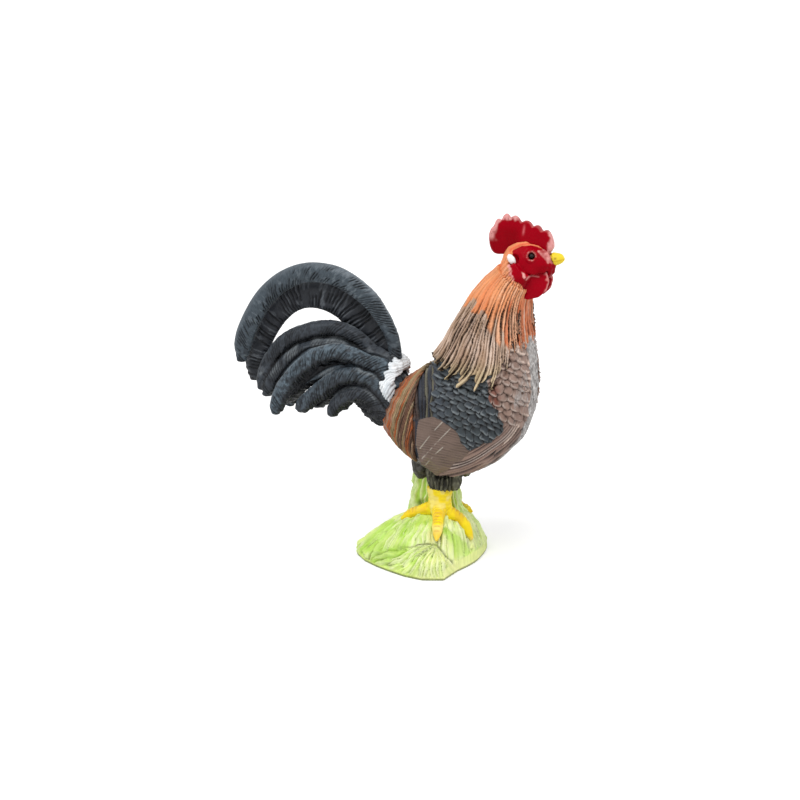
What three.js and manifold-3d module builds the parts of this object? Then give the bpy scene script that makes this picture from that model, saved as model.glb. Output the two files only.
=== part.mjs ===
// Rooster figurine, moulded in solid pieces that are glued at pegs and hand painted, on a mound of grass.
// Millimetres, +Z up, +X the way the bird faces, +Y its left. The origin is on the ground, under the bird.
// Points written as [x, z] are in side view.
import * as THREE from "three";
import { mergeVertices } from "three/addons/utils/BufferGeometryUtils.js";
import Module from "manifold-3d";

const wasm = await Module();
wasm.setup();

const RIGHT = -1;
const LEFT = 1;
const SIDES = [RIGHT, LEFT];
const nameOf = (side) => (side === RIGHT ? "right" : "left");

// Driving sizes of the figurine: beak to sickles, side to side of the base, and ground to comb. The sizes and
// the points below are drawn for a figurine of the drawn sizes, and follow the driving ones
const FIGURE_LENGTH = 67.1;
const FIGURE_WIDTH = 30.1;
const FIGURE_HEIGHT = 68.3;
const DRAWN = { length: 67.1, width: 30.1, height: 68.3 };
const lengthways = (x) => (x * FIGURE_LENGTH) / DRAWN.length;
const sideways = (y) => (y * FIGURE_WIDTH) / DRAWN.width;
const upwards = (z) => (z * FIGURE_HEIGHT) / DRAWN.height;
const stretched = (size, way) =>
  Math.hypot(lengthways(size * way.x), sideways(size * way.y), upwards(size * way.z));
const inSideView = ([x, z]) => [lengthways(x), upwards(z)];
const fromAbove = ([x, y]) => [lengthways(x), sideways(y)];
const bodyStation = ({ back, front, half }) => ({
  back: inSideView(back),
  front: inSideView(front),
  half: sideways(half),
});

// Fits: between glued faces, and round the pegs that hold them
const GLUE_GAP = 0.3;
const PEG_FIT = 0.3;
// How deep a blank reaches into the torso before the torso's own form is cut out of its back
const BLANK_DEPTH = 1.2;
const PEG_SIDES = 12;
// Segments round and from pole to pole of the rounded forms
const SMALL_BALL = [8, 6];
const WATTLE_BALL = [12, 8];
const HEAD_BALL = [16, 10];
const VENT_BALL = [10, 8];

// Torso and neck: each station runs from the back line to the belly line, with half the width there
const TORSO_STATIONS = [
  { back: [-3.4, 34.2], front: [-7.2, 24.8], half: 5.0 },
  { back: [-1.6, 35.2], front: [-4.4, 22.9], half: 7.6 },
  { back: [0.4, 36.9], front: [-0.6, 19.8], half: 9.8 },
  { back: [3.1, 40.1], front: [5.2, 17.0], half: 11.2 },
  { back: [5.8, 43.3], front: [12.0, 18.8], half: 11.8 },
  { back: [7.7, 46.6], front: [18.9, 25.0], half: 11.4 },
  { back: [9.5, 49.8], front: [21.6, 33.0], half: 10.2 },
  { back: [11.4, 52.9], front: [21.2, 41.2], half: 8.2 },
  { back: [13.6, 55.7], front: [20.1, 47.2], half: 6.4 },
  { back: [15.8, 57.9], front: [20.0, 52.0], half: 5.1 },
  { back: [18.0, 60.0], front: [21.2, 55.8], half: 4.4 },
].map(bodyStation);
const TORSO_ROWS = 16;
const TORSO_SIDES = 22;
// Below 1 the sections are fuller than an oval
const SECTION_FULLNESS = 0.88;

// Short feathers that hang behind the legs, from the belly
const VENT_X = lengthways(0.2);
const VENT_LENGTH = lengthways(4.4);
const VENT_WIDTH = sideways(8.8);
const VENT_DROP = upwards(4.0);

// Hackle: the cape of long feathers over the neck
const HACKLE_STRANDS = 23;
const HACKLE_ROWS = 7;
const HACKLE_THICKNESS = 1.0;
const HACKLE_RELIEF = 0.5;
const HACKLE_TOP = 0.99;
const HACKLE_SPREAD = 148;
const HACKLE_TIP_DEPTH = 0.06;
const HACKLE_THIN_EDGE = 0.33;
// A cape thickens from its root, over a share of its length, and thins at its sides and its points
const CAPE_ROOT = -0.45;
const CAPE_FULL_AT = 0.35;
const CAPE_SIDE = 0.3;
const CAPE_TIP_THINNING = 0.35;
const CAPE_TIP_FALL = 4;
const CAPE_RIDGES_FULL_AT = 0.6;
// The room that a cape gets past its points, in gaps, and how deep the room's notches are beside its own
const POINT_ROOM = 2.5;
const ROOM_NOTCH = 0.3;
// Where its points end: share of the way from the back line to its front edge, share of the torso's length
const HACKLE_FRINGE = [
  [0, 0.27],
  [0.3, 0.375],
  [0.5, 0.45],
  [0.7, 0.565],
  [0.82, 0.68],
  [1, 0.74],
];

// Saddle: the short cape of feathers between the back and the tail
const SADDLE_STRANDS = 14;
const SADDLE_ROWS = 4;
const SADDLE_THICKNESS = 0.7;
const SADDLE_RELIEF = 0.35;
const SADDLE_START = 0.235;
const SADDLE_END = 0.015;
const SADDLE_SPREAD = 138;
const SADDLE_THIN_EDGE = 0.12;

// Wings, folded on the flanks: points from the wing's middle, in side view
const WING_SHARE = 0.4;
const WING_FROM_STATION = inSideView([3.3, 0]);
const WING_THICKNESS = 0.9;
// Share of the thickness that is left at its rim, at the rear and at the front
const WING_EDGE = { rear: 0.55, front: 0.2 };
const WING_OUTLINE = [
  [-8.8, 0.5],
  [-7.6, 6.0],
  [-3.2, 9.5],
  [2.3, 11.5],
  [7.0, 12.6],
  [8.9, 7.5],
  [8.9, 1.5],
  [5.6, -5.0],
  [-0.4, -10.6],
  [-6.2, -12.2],
  [-9.2, -9.8],
  [-9.9, -4.5],
].map(inSideView);
const WING_SECTORS = 24;
const WING_RINGS = 5;
// The feather rows step down towards the wing tip. They flatten towards its front
const WING_STEPS = 4;
const WING_STEP_RELIEF = 0.28;
const WING_FLAT_FROM = 2.0;
const WING_FLAT_TO = 8.0;
// How late the thickness falls towards the rim
const WING_FALL = 6;
const WING_REACH = lengthways(11);
const WING_TIP_WAY = [-0.62, -0.78];
const WING_PEG_RADIUS = 1.2;
const WING_PEG_LENGTH = 3.0;

// Head, from the middle of the neck's end
const HEAD_FROM_NECK = inSideView([0.8, 1.3]);
const HEAD_LENGTH = lengthways(10.2);
const HEAD_HEIGHT = upwards(8.0);
const HEAD_WIDTH = sideways(7.8);
// Neck joint, from the head's middle: the plane where the head sits on the neck
const NECK_FROM_HEAD = inSideView([-1.9, -3.3]);
const NECK_TILT = 35;
// Larger than anything it cuts
const BLOCK_SIZE = 120;
const NAPE_SIDES = 12;
const NAPE_FULLNESS = 0.7;
const NECK_PEG_RADIUS = 1.5;
const NECK_PEG_LENGTH = 4.5;
// Its small parts, each from the head's middle
const CHEEK_RADIUS = 1.35;
const CHEEK_FLATNESS = 0.7;
const CHEEK_FROM_HEAD = inSideView([-0.8, -2.6]);
const CHEEK_ASIDE = sideways(3.3);
const EYE_RADIUS = 0.65;
const EYE_FROM_HEAD = inSideView([1.45, 1.75]);
const EYE_PROUD = 0.3;
const LOBE_LENGTH = lengthways(2.3);
const LOBE_HEIGHT = upwards(1.9);
const LOBE_THICKNESS = 1.1;
const LOBE_FROM_HEAD = inSideView([-2.1, 1.0]);

// Comb: an upright blade along the skull, points from the head's middle
const COMB_THICKNESS = sideways(2.2);
const COMB_BEVEL = 0.08;
const COMB_RIM = 0.5;
const COMB_MIDDLE = inSideView([-1.6, 4.0]);
const COMB_TOP = upwards(9.1);
const COMB_TIP_THINNING = 0.6;
const COMB_BACK = [
  [-4.4, 1.7],
  [-6.0, 1.3],
  [-7.5, 1.4],
  [-7.7, 4.2],
  [-7.8, 6.0],
].map(inSideView);
// Each point of the comb rises from a valley, pulled out to its tip
const COMB_POINTS = [
  { valley: [-6.8, 6.6], tip: [-6.2, 8.8] },
  { valley: [-5.4, 7.6], tip: [-4.5, 10.2] },
  { valley: [-3.6, 8.2], tip: [-2.5, 9.6] },
  { valley: [-1.5, 7.5], tip: [0.0, 8.6] },
  { valley: [0.8, 6.8], tip: [2.0, 7.8] },
  { valley: [2.7, 6.0], tip: [3.8, 7.0] },
].map(({ valley, tip }) => ({ valley: inSideView(valley), tip: inSideView(tip) }));
const COMB_BROW = [
  [4.5, 5.1],
  [5.3, 3.2],
  [4.4, 1.6],
  [2.6, 0.8],
  [-2.4, 0.8],
].map(inSideView);
const COMB_CURVE_STEPS = 4;
const COMB_TAB_LENGTH = lengthways(3.0);
const COMB_TAB_DEPTH = 1.6;
const COMB_TAB_THICKNESS = 1.0;
const COMB_TAB_X = lengthways(0.2);

// Beak
const BEAK_FROM_HEAD = inSideView([4.2, 1.0]);
const BEAK_LENGTH = lengthways(2.8);
const BEAK_HEIGHT = upwards(2.3);
const BEAK_WIDTH = sideways(2.4);
const BEAK_DROOP = upwards(0.35);
const BEAK_BLUNTNESS = 3.6;
const BEAK_TIP = 0.15;
const BEAK_STEPS = 6;
const BEAK_SIDES = 10;
const BEAK_PEG_RADIUS = 0.6;
const BEAK_PEG_LENGTH = 1.4;

// Wattles, hanging below the beak
const WATTLE_FROM_HEAD = inSideView([1.25, -3.1]);
const WATTLE_ASIDE = sideways(2.3);
const WATTLE_LENGTH = lengthways(6.9);
const WATTLE_HEIGHT = upwards(7.2);
const WATTLE_THICKNESS = sideways(1.7);
const WATTLE_SPLAY = 17;

// Tail body, behind the torso's rear end: stations from the middle of that end
const TAIL_STATIONS = [
  { back: [0.1, 8.4], front: [-5.0, -4.3], half: 4.4 },
  { back: [-2.3, 10.7], front: [-8.1, -1.7], half: 3.6 },
  { back: [-6.2, 11.5], front: [-11.2, 1.5], half: 2.6 },
  { back: [-10.7, 11.7], front: [-14.7, 4.5], half: 1.6 },
].map(bodyStation);
const TAIL_ROWS = 5;
const TAIL_SIDES = 14;
const TAIL_PEG_RADIUS = 2.4;
const TAIL_PEG_LENGTH = 5.0;

// Plumes: centre line from root to tip, from the middle of the torso's rear end, distance from the bird's
// middle plane, half width and half thickness
const PLUME_SIDES = 6;
const PLUME_STEPS = 9;
// Its steps get shorter towards the tip. The root is narrower over a share of its length, and is closer in
const PLUME_STEP_TAPER = 1.45;
const PLUME_ROOT = 0.62;
const PLUME_ROOT_REACH = 0.35;
const PLUME_ROOT_ASIDE = 0.7;
// The tip rounds off over a share of the length, to a blunt end, and keeps part of its thickness
const PLUME_TIP_REACH = 0.1;
const PLUME_TIP_WIDTH = 0.42;
const PLUME_TIP_THICKNESS = 0.4;
const SICKLE_SIDES = 8;
const SICKLE_STEPS = 15;
const SICKLES = {
  right: {
    line: [
      ...[[-0.1, 9.5], [-0.9, 13.8], [-2.6, 17.3], [-5.0, 20.6], [-8.4, 23.3], [-12.2, 25.1], [-16.4, 25.6]],
      ...[[-20.0, 25.0], [-23.8, 23.1], [-27.3, 19.9], [-30.0, 15.7], [-31.8, 11.5], [-32.6, 6.7]],
    ],
    aside: 2.3,
    half: 2.15,
    tipHalf: 2.15,
    thick: 1.3,
  },
  left: {
    line: [
      ...[[-1.5, 6.6], [-3.3, 9.7], [-6.0, 12.7], [-9.0, 15.6], [-11.6, 18.3], [-14.8, 19.9], [-18.2, 20.5]],
      ...[[-21.7, 20.0], [-24.9, 18.2], [-27.6, 15.2], [-29.8, 11.3], [-31.2, 7.4], [-31.8, 1.9]],
    ],
    aside: 2.3,
    half: 4.1,
    tipHalf: 2.3,
    thick: 1.3,
  },
};
const MIDDLE_PLUMES = [
  {
    line: [
      ...[[-2.1, 6.4], [-5.5, 10.3], [-8.8, 12.8], [-12.4, 14.1], [-16.4, 14.0], [-20.9, 12.6]],
      ...[[-24.3, 10.5], [-26.9, 7.3], [-28.5, 4.1], [-29.3, 0.9]],
    ],
    aside: 0,
    half: 1.8,
    thick: 1.5,
  },
  {
    line: [
      ...[[-2.1, 4.1], [-6.1, 7.7], [-9.9, 9.6], [-14.1, 10.1], [-18.4, 9.4]],
      ...[[-22.2, 7.5], [-25.1, 4.8], [-27.1, 2.2], [-28.3, -0.1]],
    ],
    aside: 0,
    half: 2.4,
    thick: 2.6,
  },
  {
    line: [[-2.1, 1.5], [-6.2, 5.1], [-10.3, 6.7], [-14.7, 6.3], [-19.3, 4.1], [-22.7, 0.9], [-24.3, -1.1]],
    aside: 0,
    half: 2.1,
    thick: 3.0,
  },
  {
    line: [[-2.7, -1.1], [-6.2, 1.5], [-9.7, 2.7], [-13.3, 2.1], [-16.3, 0.1], [-17.7, -1.5]],
    aside: 0,
    half: 1.9,
    thick: 2.4,
  },
];
const OUTER_PLUMES = [
  {
    line: [
      ...[[-1.1, 6.1], [-3.1, 7.7], [-5.4, 8.9], [-8.5, 10.0], [-11.6, 10.3], [-14.8, 9.6]],
      ...[[-17.7, 7.9], [-20.5, 5.3], [-22.9, 2.1], [-24.5, -1.5], [-24.8, -3.1]],
    ],
    aside: 3.6,
    half: 1.9,
    thick: 1.25,
  },
  {
    line: [
      ...[[-0.7, 1.7], [-2.3, 3.5], [-4.3, 5.0], [-7.0, 5.9], [-10.1, 5.6]],
      ...[[-13.1, 4.1], [-16.1, 1.7], [-20.1, -1.9]],
    ],
    aside: 3.3,
    half: 1.9,
    thick: 1.25,
  },
  {
    line: [[-0.1, -2.7], [-1.7, -0.3], [-3.7, 1.3], [-6.3, 2.1], [-9.1, 1.8], [-11.4, 0.4], [-13.5, -2.5]],
    aside: 2.8,
    half: 1.6,
    thick: 1.3,
  },
];

// Tuft: the white down over the root of the tail
const TUFT_STRANDS = 9;
const TUFT_ROWS = 3;
const TUFT_THICKNESS = 0.8;
const TUFT_RELIEF = 0.35;
const TUFT_SPREAD = 80;
const TUFT_FRONT = 0.0;
const TUFT_REAR = 0.36;
const TUFT_TIP_DEPTH = 0.06;
const TUFT_THIN_EDGE = 0.12;

// Legs
const LEG_X = lengthways(4.8);
const LEG_SPACING = sideways(10.0);
const LEFT_LEG_BACK = lengthways(1.0);
const SHANK_RADIUS = 1.6;
// Its girth at the sole, the ankle, over the ankle and at the top
const SHANK_GIRTHS = [0.85, 1.15, 1.0, 1.15];
const ANKLE_OVER_GRASS = 1.4;
const THIGH_AHEAD = lengthways(0.9);
const THIGH_LENGTH = lengthways(6.8);
const THIGH_WIDTH = sideways(6.0);
const THIGH_DROP = upwards(2.7);
const THIGH_RISE = upwards(3.0);
const THIGH_HEM = 0.78;
const THIGH_RIB = 0.06;
const THIGH_SIDES = 14;
const THIGH_ROWS = 3;
const SHANK_PIN_RADIUS = 0.7;
const SHANK_PIN_LENGTH = 3.4;
const SHANK_PIN_ROOT = 1.0;
const TOE_RADIUS = 1.05;
const TOE_SINK = 0.15;
// Each third of its length lies lower by this share, and it thins to the claw, which rounds off over a share
const TOE_FALL = 0.15;
const TOE_THINNING = 0.3;
const TOE_CLAW = 0.25;
const TOE_CLAW_END = 0.17;
const TOE_KNUCKLE_RELIEF = 0.1;
const TOE_STEPS = 6;
const TOE_SIDES = 6;
const TOE_KNUCKLES = 3;
// Where the toes end, from the ankle: forward and outward. They lie on the grass
const TOE_TIPS = {
  right: [
    [6.1, -1.4],
    [2.1, 8.0],
    [-7.8, 0.2],
  ],
  left: [
    [4.9, -1.5],
    [0.5, 5.6],
    [-6.4, 0.6],
  ],
};

// Grass mound: its outline on the ground, as [x, y]
const MOUND_OUTLINE = [
  [11.6, 0.5],
  [10.8, 6.6],
  [6.4, 11.8],
  [-0.5, 12.2],
  [-8.0, 9.2],
  [-12.2, 3.4],
  [-13.2, -3.6],
  [-9.4, -9.4],
  [-2.8, -13.8],
  [4.2, -16.6],
  [9.0, -15.6],
  [10.0, -9.2],
  [11.4, -4.0],
].map(fromAbove);
const MOUND_MIDDLE = fromAbove([4.2, 0.0]);
const MOUND_HEIGHT = upwards(10.4);
const MOUND_EDGE = 1.1;
const MOUND_FOLD = 0.35;
const MOUND_FOLDS = 9;
const MOUND_FOLD_TWIST = 4;
// How the slope swells, and how steep its foot is, change from the tail side to the front and the right
const MOUND_SWELL = { middle: 2.0, forward: 0.4, right: 0.6 };
const MOUND_SHOULDER = { middle: 0.8, forward: -0.2, right: -0.1 };
const MOUND_RINGS = 5;
// How far in from the rim the foot and the slope's lowest ring are, as shares of the reach
const MOUND_FOOT_INSET = 0.01;
const MOUND_RIM_INSET = 0.015;
const MOUND_SECTORS = 25;

// The upright clump of grass that props the belly, and the blades that lie on the mound
const CLUMP_X = lengthways(2.3);
const CLUMP_LENGTH = lengthways(8.2);
const CLUMP_WIDTH = sideways(6.0);
const CLUMP_FLARE = 0.55;
const CLUMP_RIB = 0.07;
const CLUMP_SIDES = 14;
const CLUMP_ROWS = 3;
const BLADE_COUNT = 10;
const BLADE_LENGTH = 6.0;
const BLADE_HALF_WIDTH = 0.75;
const BLADE_PROUD = 0.55;
const BLADE_STEPS = 3;
// How far out a blade starts, as a share of the mound's reach. Its start, its place and its bend vary from
// blade to blade, each in its own rhythm
const BLADE_START = 0.42;
const BLADE_START_VARIES = 0.14;
const BLADE_PLACE_VARIES = 0.35;
const BLADE_BEND = 0.16;
const BLADE_RHYTHM = { place: 2.4, start: 1.7, bend: 3.1 };
// Its width swells and falls like half a wave, less a share at its root and at its point
const BLADE_ROOT = 0.12;
const BLADE_POINT = 0.02;
const BLADE_TURN_STEP = 0.05;
const BLADE_DEPTH = 0.35;
const BLADE_REACH_LIMIT = 0.96;
const BLADE_ROOT_RISE = 0.4;

const paint = (color, roughness) => new THREE.MeshStandardMaterial({ color, roughness, metalness: 0 });
const LOOKS = {
  breast: paint("#6f6763", 0.55),
  hackle: paint("#b98a68", 0.55),
  saddle: paint("#8a5a3c", 0.55),
  wing: paint("#6d5c56", 0.55),
  tail: paint("#3f464e", 0.5),
  tuft: paint("#d3d7da", 0.5),
  flesh: paint("#a80f1e", 0.35),
  lobe: paint("#f2f0ee", 0.35),
  eye: paint("#17120f", 0.2),
  beak: paint("#f2cf2a", 0.4),
  foot: paint("#f0cc1e", 0.45),
  grass: paint("#c3ea7e", 0.5),
};

const radians = THREE.MathUtils.degToRad;
const lerp = THREE.MathUtils.lerp;
const smooth = THREE.MathUtils.smoothstep;
const vec = (x, y, z) => new THREE.Vector3(x, y, z);
const X_WAY = vec(1, 0, 0);
const Y_WAY = vec(0, 1, 0);
const Z_WAY = vec(0, 0, 1);
const between = (a, b) => [(a[0] + b[0]) / 2, (a[1] + b[1]) / 2];
const shifted = (point, by) => [point[0] + by[0], point[1] + by[1]];
const way = (from, to) => to.clone().sub(from).normalize();
const turnOf = (k, sides) => (2 * Math.PI * k) / sides;
const times = (count, make) => Array.from({ length: count }, (_, k) => make(k));

// A smooth curve through points, whose ends reach further by a length
function openCurve(spots, more) {
  const last = spots.length - 1;
  const furtherFrom = (end, next) => spots[end].clone().addScaledVector(way(spots[next], spots[end]), more);
  const ends = [furtherFrom(0, 1), furtherFrom(last, last - 1)];
  return new THREE.CatmullRomCurve3([ends[0], ...spots.slice(1, last), ends[1]], false, "centripetal");
}

// A closed surface that is collected row by row
class Shell {
  constructor() {
    this.points = [];
    this.faces = [];
  }
  row(points) {
    return points.map((p) => {
      this.points.push(p.x, p.y, p.z);
      return this.points.length / 3 - 1;
    });
  }
  strip(a, b, closed) {
    const n = a.length;
    for (let i = 0; i < (closed ? n : n - 1); i++) {
      const j = (i + 1) % n;
      this.faces.push(a[i], a[j], b[j], a[i], b[j], b[i]);
    }
  }
  fan(hub, ring, reversed) {
    for (let i = 0; i < ring.length; i++) {
      const j = (i + 1) % ring.length;
      this.faces.push(...(reversed ? [hub, ring[j], ring[i]] : [hub, ring[i], ring[j]]));
    }
  }
  solid() {
    const made = solidFrom(this.points, this.faces);
    return made.volume() > 0 ? made : solidFrom(this.points, this.faces.slice().reverse());
  }
}

function solidFrom(points, faces) {
  const vertProperties = new Float32Array(points);
  const triVerts = new Uint32Array(faces);
  return new wasm.Manifold(new wasm.Mesh({ numProp: 3, vertProperties, triVerts }));
}

const middleOf = (ring) => ring.reduce((sum, p) => sum.add(p), vec(0, 0, 0)).divideScalar(ring.length);

// Joins rings of points into a closed solid, with a point in the middle of each end
function loft(rings) {
  const shell = new Shell();
  const rows = rings.map((ring) => shell.row(ring));
  for (let i = 1; i < rows.length; i++) shell.strip(rows[i - 1], rows[i], true);
  const [first, last] = shell.row([middleOf(rings[0]), middleOf(rings[rings.length - 1])]);
  shell.fan(first, rows[0], true);
  shell.fan(last, rows[rows.length - 1], false);
  return shell.solid();
}

// An oval ring of points round a middle, in the plane of two directions
function ringAt(middle, across, up, width, height, sides, turn = 0) {
  return times(sides, (k) => {
    const angle = turnOf(k + turn, sides);
    const point = middle.clone().addScaledVector(across, width * Math.cos(angle));
    return point.addScaledVector(up, height * Math.sin(angle));
  });
}

// An upright form with ribbed sides, from the middle of its foot up
function ribbed(foot, [length, width, height], sizeAt, rib, [sides, rows], grow) {
  return loft(
    times(rows + 1, (i) =>
      times(sides, (k) => {
        const round = turnOf(k, sides);
        const size = (sizeAt(i / rows) * (1 + rib * (k % 2 ? 1 : -1))) / 2;
        const x = (length * size + grow) * Math.cos(round);
        return foot.clone().add(vec(x, (width * size + grow) * Math.sin(round), (height * i) / rows));
      }),
    ),
  );
}

// A plate between an outer and an inner grid of the same size, closed along its four borders
function gridPlate(outer, inner) {
  const shell = new Shell();
  const top = outer.map((row) => shell.row(row));
  const under = inner.map((row) => shell.row(row));
  const last = top.length - 1;
  for (let i = 0; i < last; i++) {
    shell.strip(top[i], top[i + 1], false);
    shell.strip(under[i + 1], under[i], false);
  }
  shell.strip(under[0], top[0], false);
  shell.strip(top[last], under[last], false);
  const start = (grid) => grid.map((row) => row[0]);
  const end = (grid) => grid.map((row) => row[row.length - 1]);
  shell.strip(start(top), start(under), false);
  shell.strip(end(under), end(top), false);
  return shell.solid();
}

// A shallow dome: rings round a middle point on its face, and one ring round a middle point at its back
function dome(faceHub, faceRings, backHub, backRing) {
  const shell = new Shell();
  const rows = [...faceRings, backRing].map((ring) => shell.row(ring));
  for (let i = 1; i < rows.length; i++) shell.strip(rows[i - 1], rows[i], true);
  const [hub, back] = shell.row([faceHub, backHub]);
  shell.fan(hub, rows[0], true);
  shell.fan(back, rows[rows.length - 1], false);
  return shell.solid();
}

// A three.js geometry as a solid, placed by a matrix
function solidOf(geometry, matrix) {
  const bare = geometry.clone().applyMatrix4(matrix);
  bare.deleteAttribute("normal");
  bare.deleteAttribute("uv");
  const merged = mergeVertices(bare, 1e-4);
  return solidFrom(merged.attributes.position.array, merged.index.array);
}

function ellipsoid(centre, radii, [segments, rings], turn = 0) {
  const turned = new THREE.Quaternion().setFromAxisAngle(Z_WAY, turn);
  const matrix = new THREE.Matrix4().compose(vec(...centre), turned, vec(...radii));
  return solidOf(new THREE.SphereGeometry(1, segments, rings), matrix);
}

// A round peg from one point to another
function peg(from, to, radius) {
  const turn = new THREE.Quaternion().setFromUnitVectors(Y_WAY, way(from, to));
  const matrix = new THREE.Matrix4().compose(from.clone().lerp(to, 0.5), turn, vec(1, 1, 1));
  return solidOf(new THREE.CylinderGeometry(radius, radius, from.distanceTo(to), PEG_SIDES), matrix);
}

const joined = (solids) => solids.reduce((a, b) => a.add(b));

// Cuts a blank to shape: the largest body is the piece, the rest are offcuts
const without = (blank, cutters) => {
  const bodies = cutters.reduce((a, b) => a.subtract(b), blank).decompose();
  return bodies.reduce((a, b) => (b.volume() > a.volume() ? b : a));
};

// Blends a list of stations smoothly, at a share of the way along it
function stationAt(stations, share) {
  const last = stations.length - 1;
  const place = THREE.MathUtils.clamp(share, 0, 1) * last;
  const i = Math.min(Math.floor(place), last - 1);
  const t = place - i;
  const near = [i - 1, i, i + 1, i + 2].map((k) => stations[THREE.MathUtils.clamp(k, 0, last)]);
  const blend = (read) => {
    const [a, b, c, d] = near.map(read);
    return b + 0.5 * t * (c - a + t * (2 * a - 5 * b + 4 * c - d + t * (3 * (b - c) + d - a)));
  };
  return {
    back: [blend((s) => s.back[0]), blend((s) => s.back[1])],
    front: [blend((s) => s.front[0]), blend((s) => s.front[1])],
    half: blend((s) => s.half),
  };
}

const full = (value) => Math.sign(value) * Math.abs(value) ** SECTION_FULLNESS;

// A point on a body of stations: angle 0 is the back line, half a turn the belly line, positive to the left
function onBody(stations, share, angle) {
  const { back, front, half } = stationAt(stations, share);
  const [x, z] = between(back, front);
  const c = full(Math.cos(angle)) / 2;
  return vec(x + c * (back[0] - front[0]), half * full(Math.sin(angle)), z + c * (back[1] - front[1]));
}

function bodyNormal(stations, place, angle) {
  const step = 0.004;
  const share = THREE.MathUtils.clamp(place, step, 1 - step);
  const along = onBody(stations, share + step, angle).sub(onBody(stations, share - step, angle));
  const round = onBody(stations, share, angle + step).sub(onBody(stations, share, angle - step));
  const across = onBody(stations, share, angle).sub(onBody(stations, share, angle + Math.PI));
  const normal = round.cross(along).normalize();
  return normal.dot(across) < 0 ? normal.negate() : normal;
}

const lifted = (stations, share, angle, lift) =>
  onBody(stations, share, angle).addScaledVector(bodyNormal(stations, share, angle), lift);

function bodySolid(stations, rows, sides, grow) {
  const ringOf = (share) => times(sides, (k) => lifted(stations, share, turnOf(k, sides), grow));
  const rings = times(rows + 1, (i) => ringOf(i / rows));
  for (const [end, next] of [[0, 1], [rows, rows - 1]]) {
    const outward = middleOf(rings[end]).sub(middleOf(rings[next])).setLength(grow);
    for (const point of rings[end]) point.add(outward);
  }
  return loft(rings);
}

// A cape of strands over a body: rows run down the feathers, columns run round the body.
// Grown, it is room for the cape: it reaches past the points, with shallower notches between them.
function cape(form, grow) {
  const isRoom = grow > 0;
  const notch = form.tipDepth * (isRoom ? ROOM_NOTCH : 1);
  const over = isRoom ? form.roomOver : 0;
  const columns = form.strands * 2;
  const rimRoom = grow / stationAt(form.stations, form.start).half;
  const outer = [];
  const inner = [];
  for (let i = 0; i <= form.rows; i++) {
    const down = i / form.rows;
    const top = [];
    const under = [];
    for (let k = 0; k <= columns; k++) {
      const round = (2 * k) / columns - 1;
      const angle = round * radians(form.spread) + Math.trunc(round) * rimRoom;
      const isRidge = k % 2 === 1;
      const tip = form.end(Math.abs(round));
      const onward = tip - form.start;
      const length = onBody(form.stations, form.start, angle).distanceTo(onBody(form.stations, tip, angle));
      const more = (grow / length) * onward;
      const stop = tip + POINT_ROOM * more - (isRidge ? 0 : notch * Math.sign(onward));
      const share = lerp(form.start - more, stop, down);
      const rim = Math.min(1, (1 - Math.abs(round)) / form.thinEdge);
      const rising = smooth(down, CAPE_ROOT, CAPE_FULL_AT) * (1 - CAPE_TIP_THINNING * down ** CAPE_TIP_FALL);
      const body = form.thickness * rising * lerp(CAPE_SIDE, 1, rim);
      const ridge = isRidge ? form.relief * rim * smooth(down, 0, CAPE_RIDGES_FULL_AT) : 0;
      top.push(lifted(form.stations, share, angle, GLUE_GAP + body + ridge + grow + over));
      under.push(lifted(form.stations, share, angle, form.back - grow));
    }
    outer.push(top);
    inner.push(under);
  }
  return gridPlate(outer, inner);
}

// Where a side-view point lies on the torso: its share of the length and its angle round the section
function torsoPlace(x, z) {
  const side = (share) => {
    const { back, front } = stationAt(TORSO_STATIONS, share);
    return (front[0] - back[0]) * (z - back[1]) - (front[1] - back[1]) * (x - back[0]);
  };
  let low = 0;
  let high = 1;
  const rising = side(high) > side(low);
  for (let i = 0; i < 40; i++) {
    const middle = (low + high) / 2;
    if (side(middle) > 0 === rising) high = middle;
    else low = middle;
  }
  const { back, front } = stationAt(TORSO_STATIONS, low);
  const [cx, cz] = between(back, front);
  const length = Math.hypot(back[0] - front[0], back[1] - front[1]);
  const towardsBack = ((x - cx) * (back[0] - front[0]) + (z - cz) * (back[1] - front[1])) / length;
  const c = THREE.MathUtils.clamp((2 * towardsBack) / length, -1, 1);
  return { share: low, angle: Math.acos(Math.sign(c) * Math.abs(c) ** (1 / SECTION_FULLNESS)) };
}

function onFlank([x, z], side, lift) {
  const { share, angle } = torsoPlace(x, z);
  return lifted(TORSO_STATIONS, share, angle * side, lift);
}

// Height of the belly line over a place
function bellyAt(x) {
  const fronts = times(101, (i) => stationAt(TORSO_STATIONS, i / 100).front);
  return fronts.reduce((best, p) => (Math.abs(p[0] - x) < Math.abs(best[0] - x) ? p : best))[1];
}

// A smooth closed outline round a middle, as its distance in each direction
function outlineRadius(points, middle) {
  const spots = points.map(([a, b]) => vec(a - middle[0], b - middle[1], 0));
  const curve = new THREE.CatmullRomCurve3(spots, true, "centripetal");
  const samples = curve.getPoints(240).map((p) => [Math.atan2(p.y, p.x), Math.hypot(p.x, p.y)]);
  return (angle) => {
    const off = ([a]) => Math.abs(Math.atan2(Math.sin(a - angle), Math.cos(a - angle)));
    return samples.reduce((best, s) => (off(s) < off(best) ? s : best))[1];
  };
}

// Joints of the glued pieces, worked out from the torso's ends
const tailEnd = TORSO_STATIONS[0];
const neckEnd = TORSO_STATIONS[TORSO_STATIONS.length - 1];
const TAIL_JOINT = between(tailEnd.back, tailEnd.front);
const HEAD_MIDDLE = shifted(between(neckEnd.back, neckEnd.front), HEAD_FROM_NECK);
const NECK_JOINT = shifted(HEAD_MIDDLE, NECK_FROM_HEAD);
const inHead = (point) => shifted(HEAD_MIDDLE, point);
const inTail = (point) => shifted(TAIL_JOINT, point);
const upright = ([x, z], y = 0) => vec(x, y, z);

const NECK_WAY = vec(Math.sin(radians(NECK_TILT)), 0, Math.cos(radians(NECK_TILT)));
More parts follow.
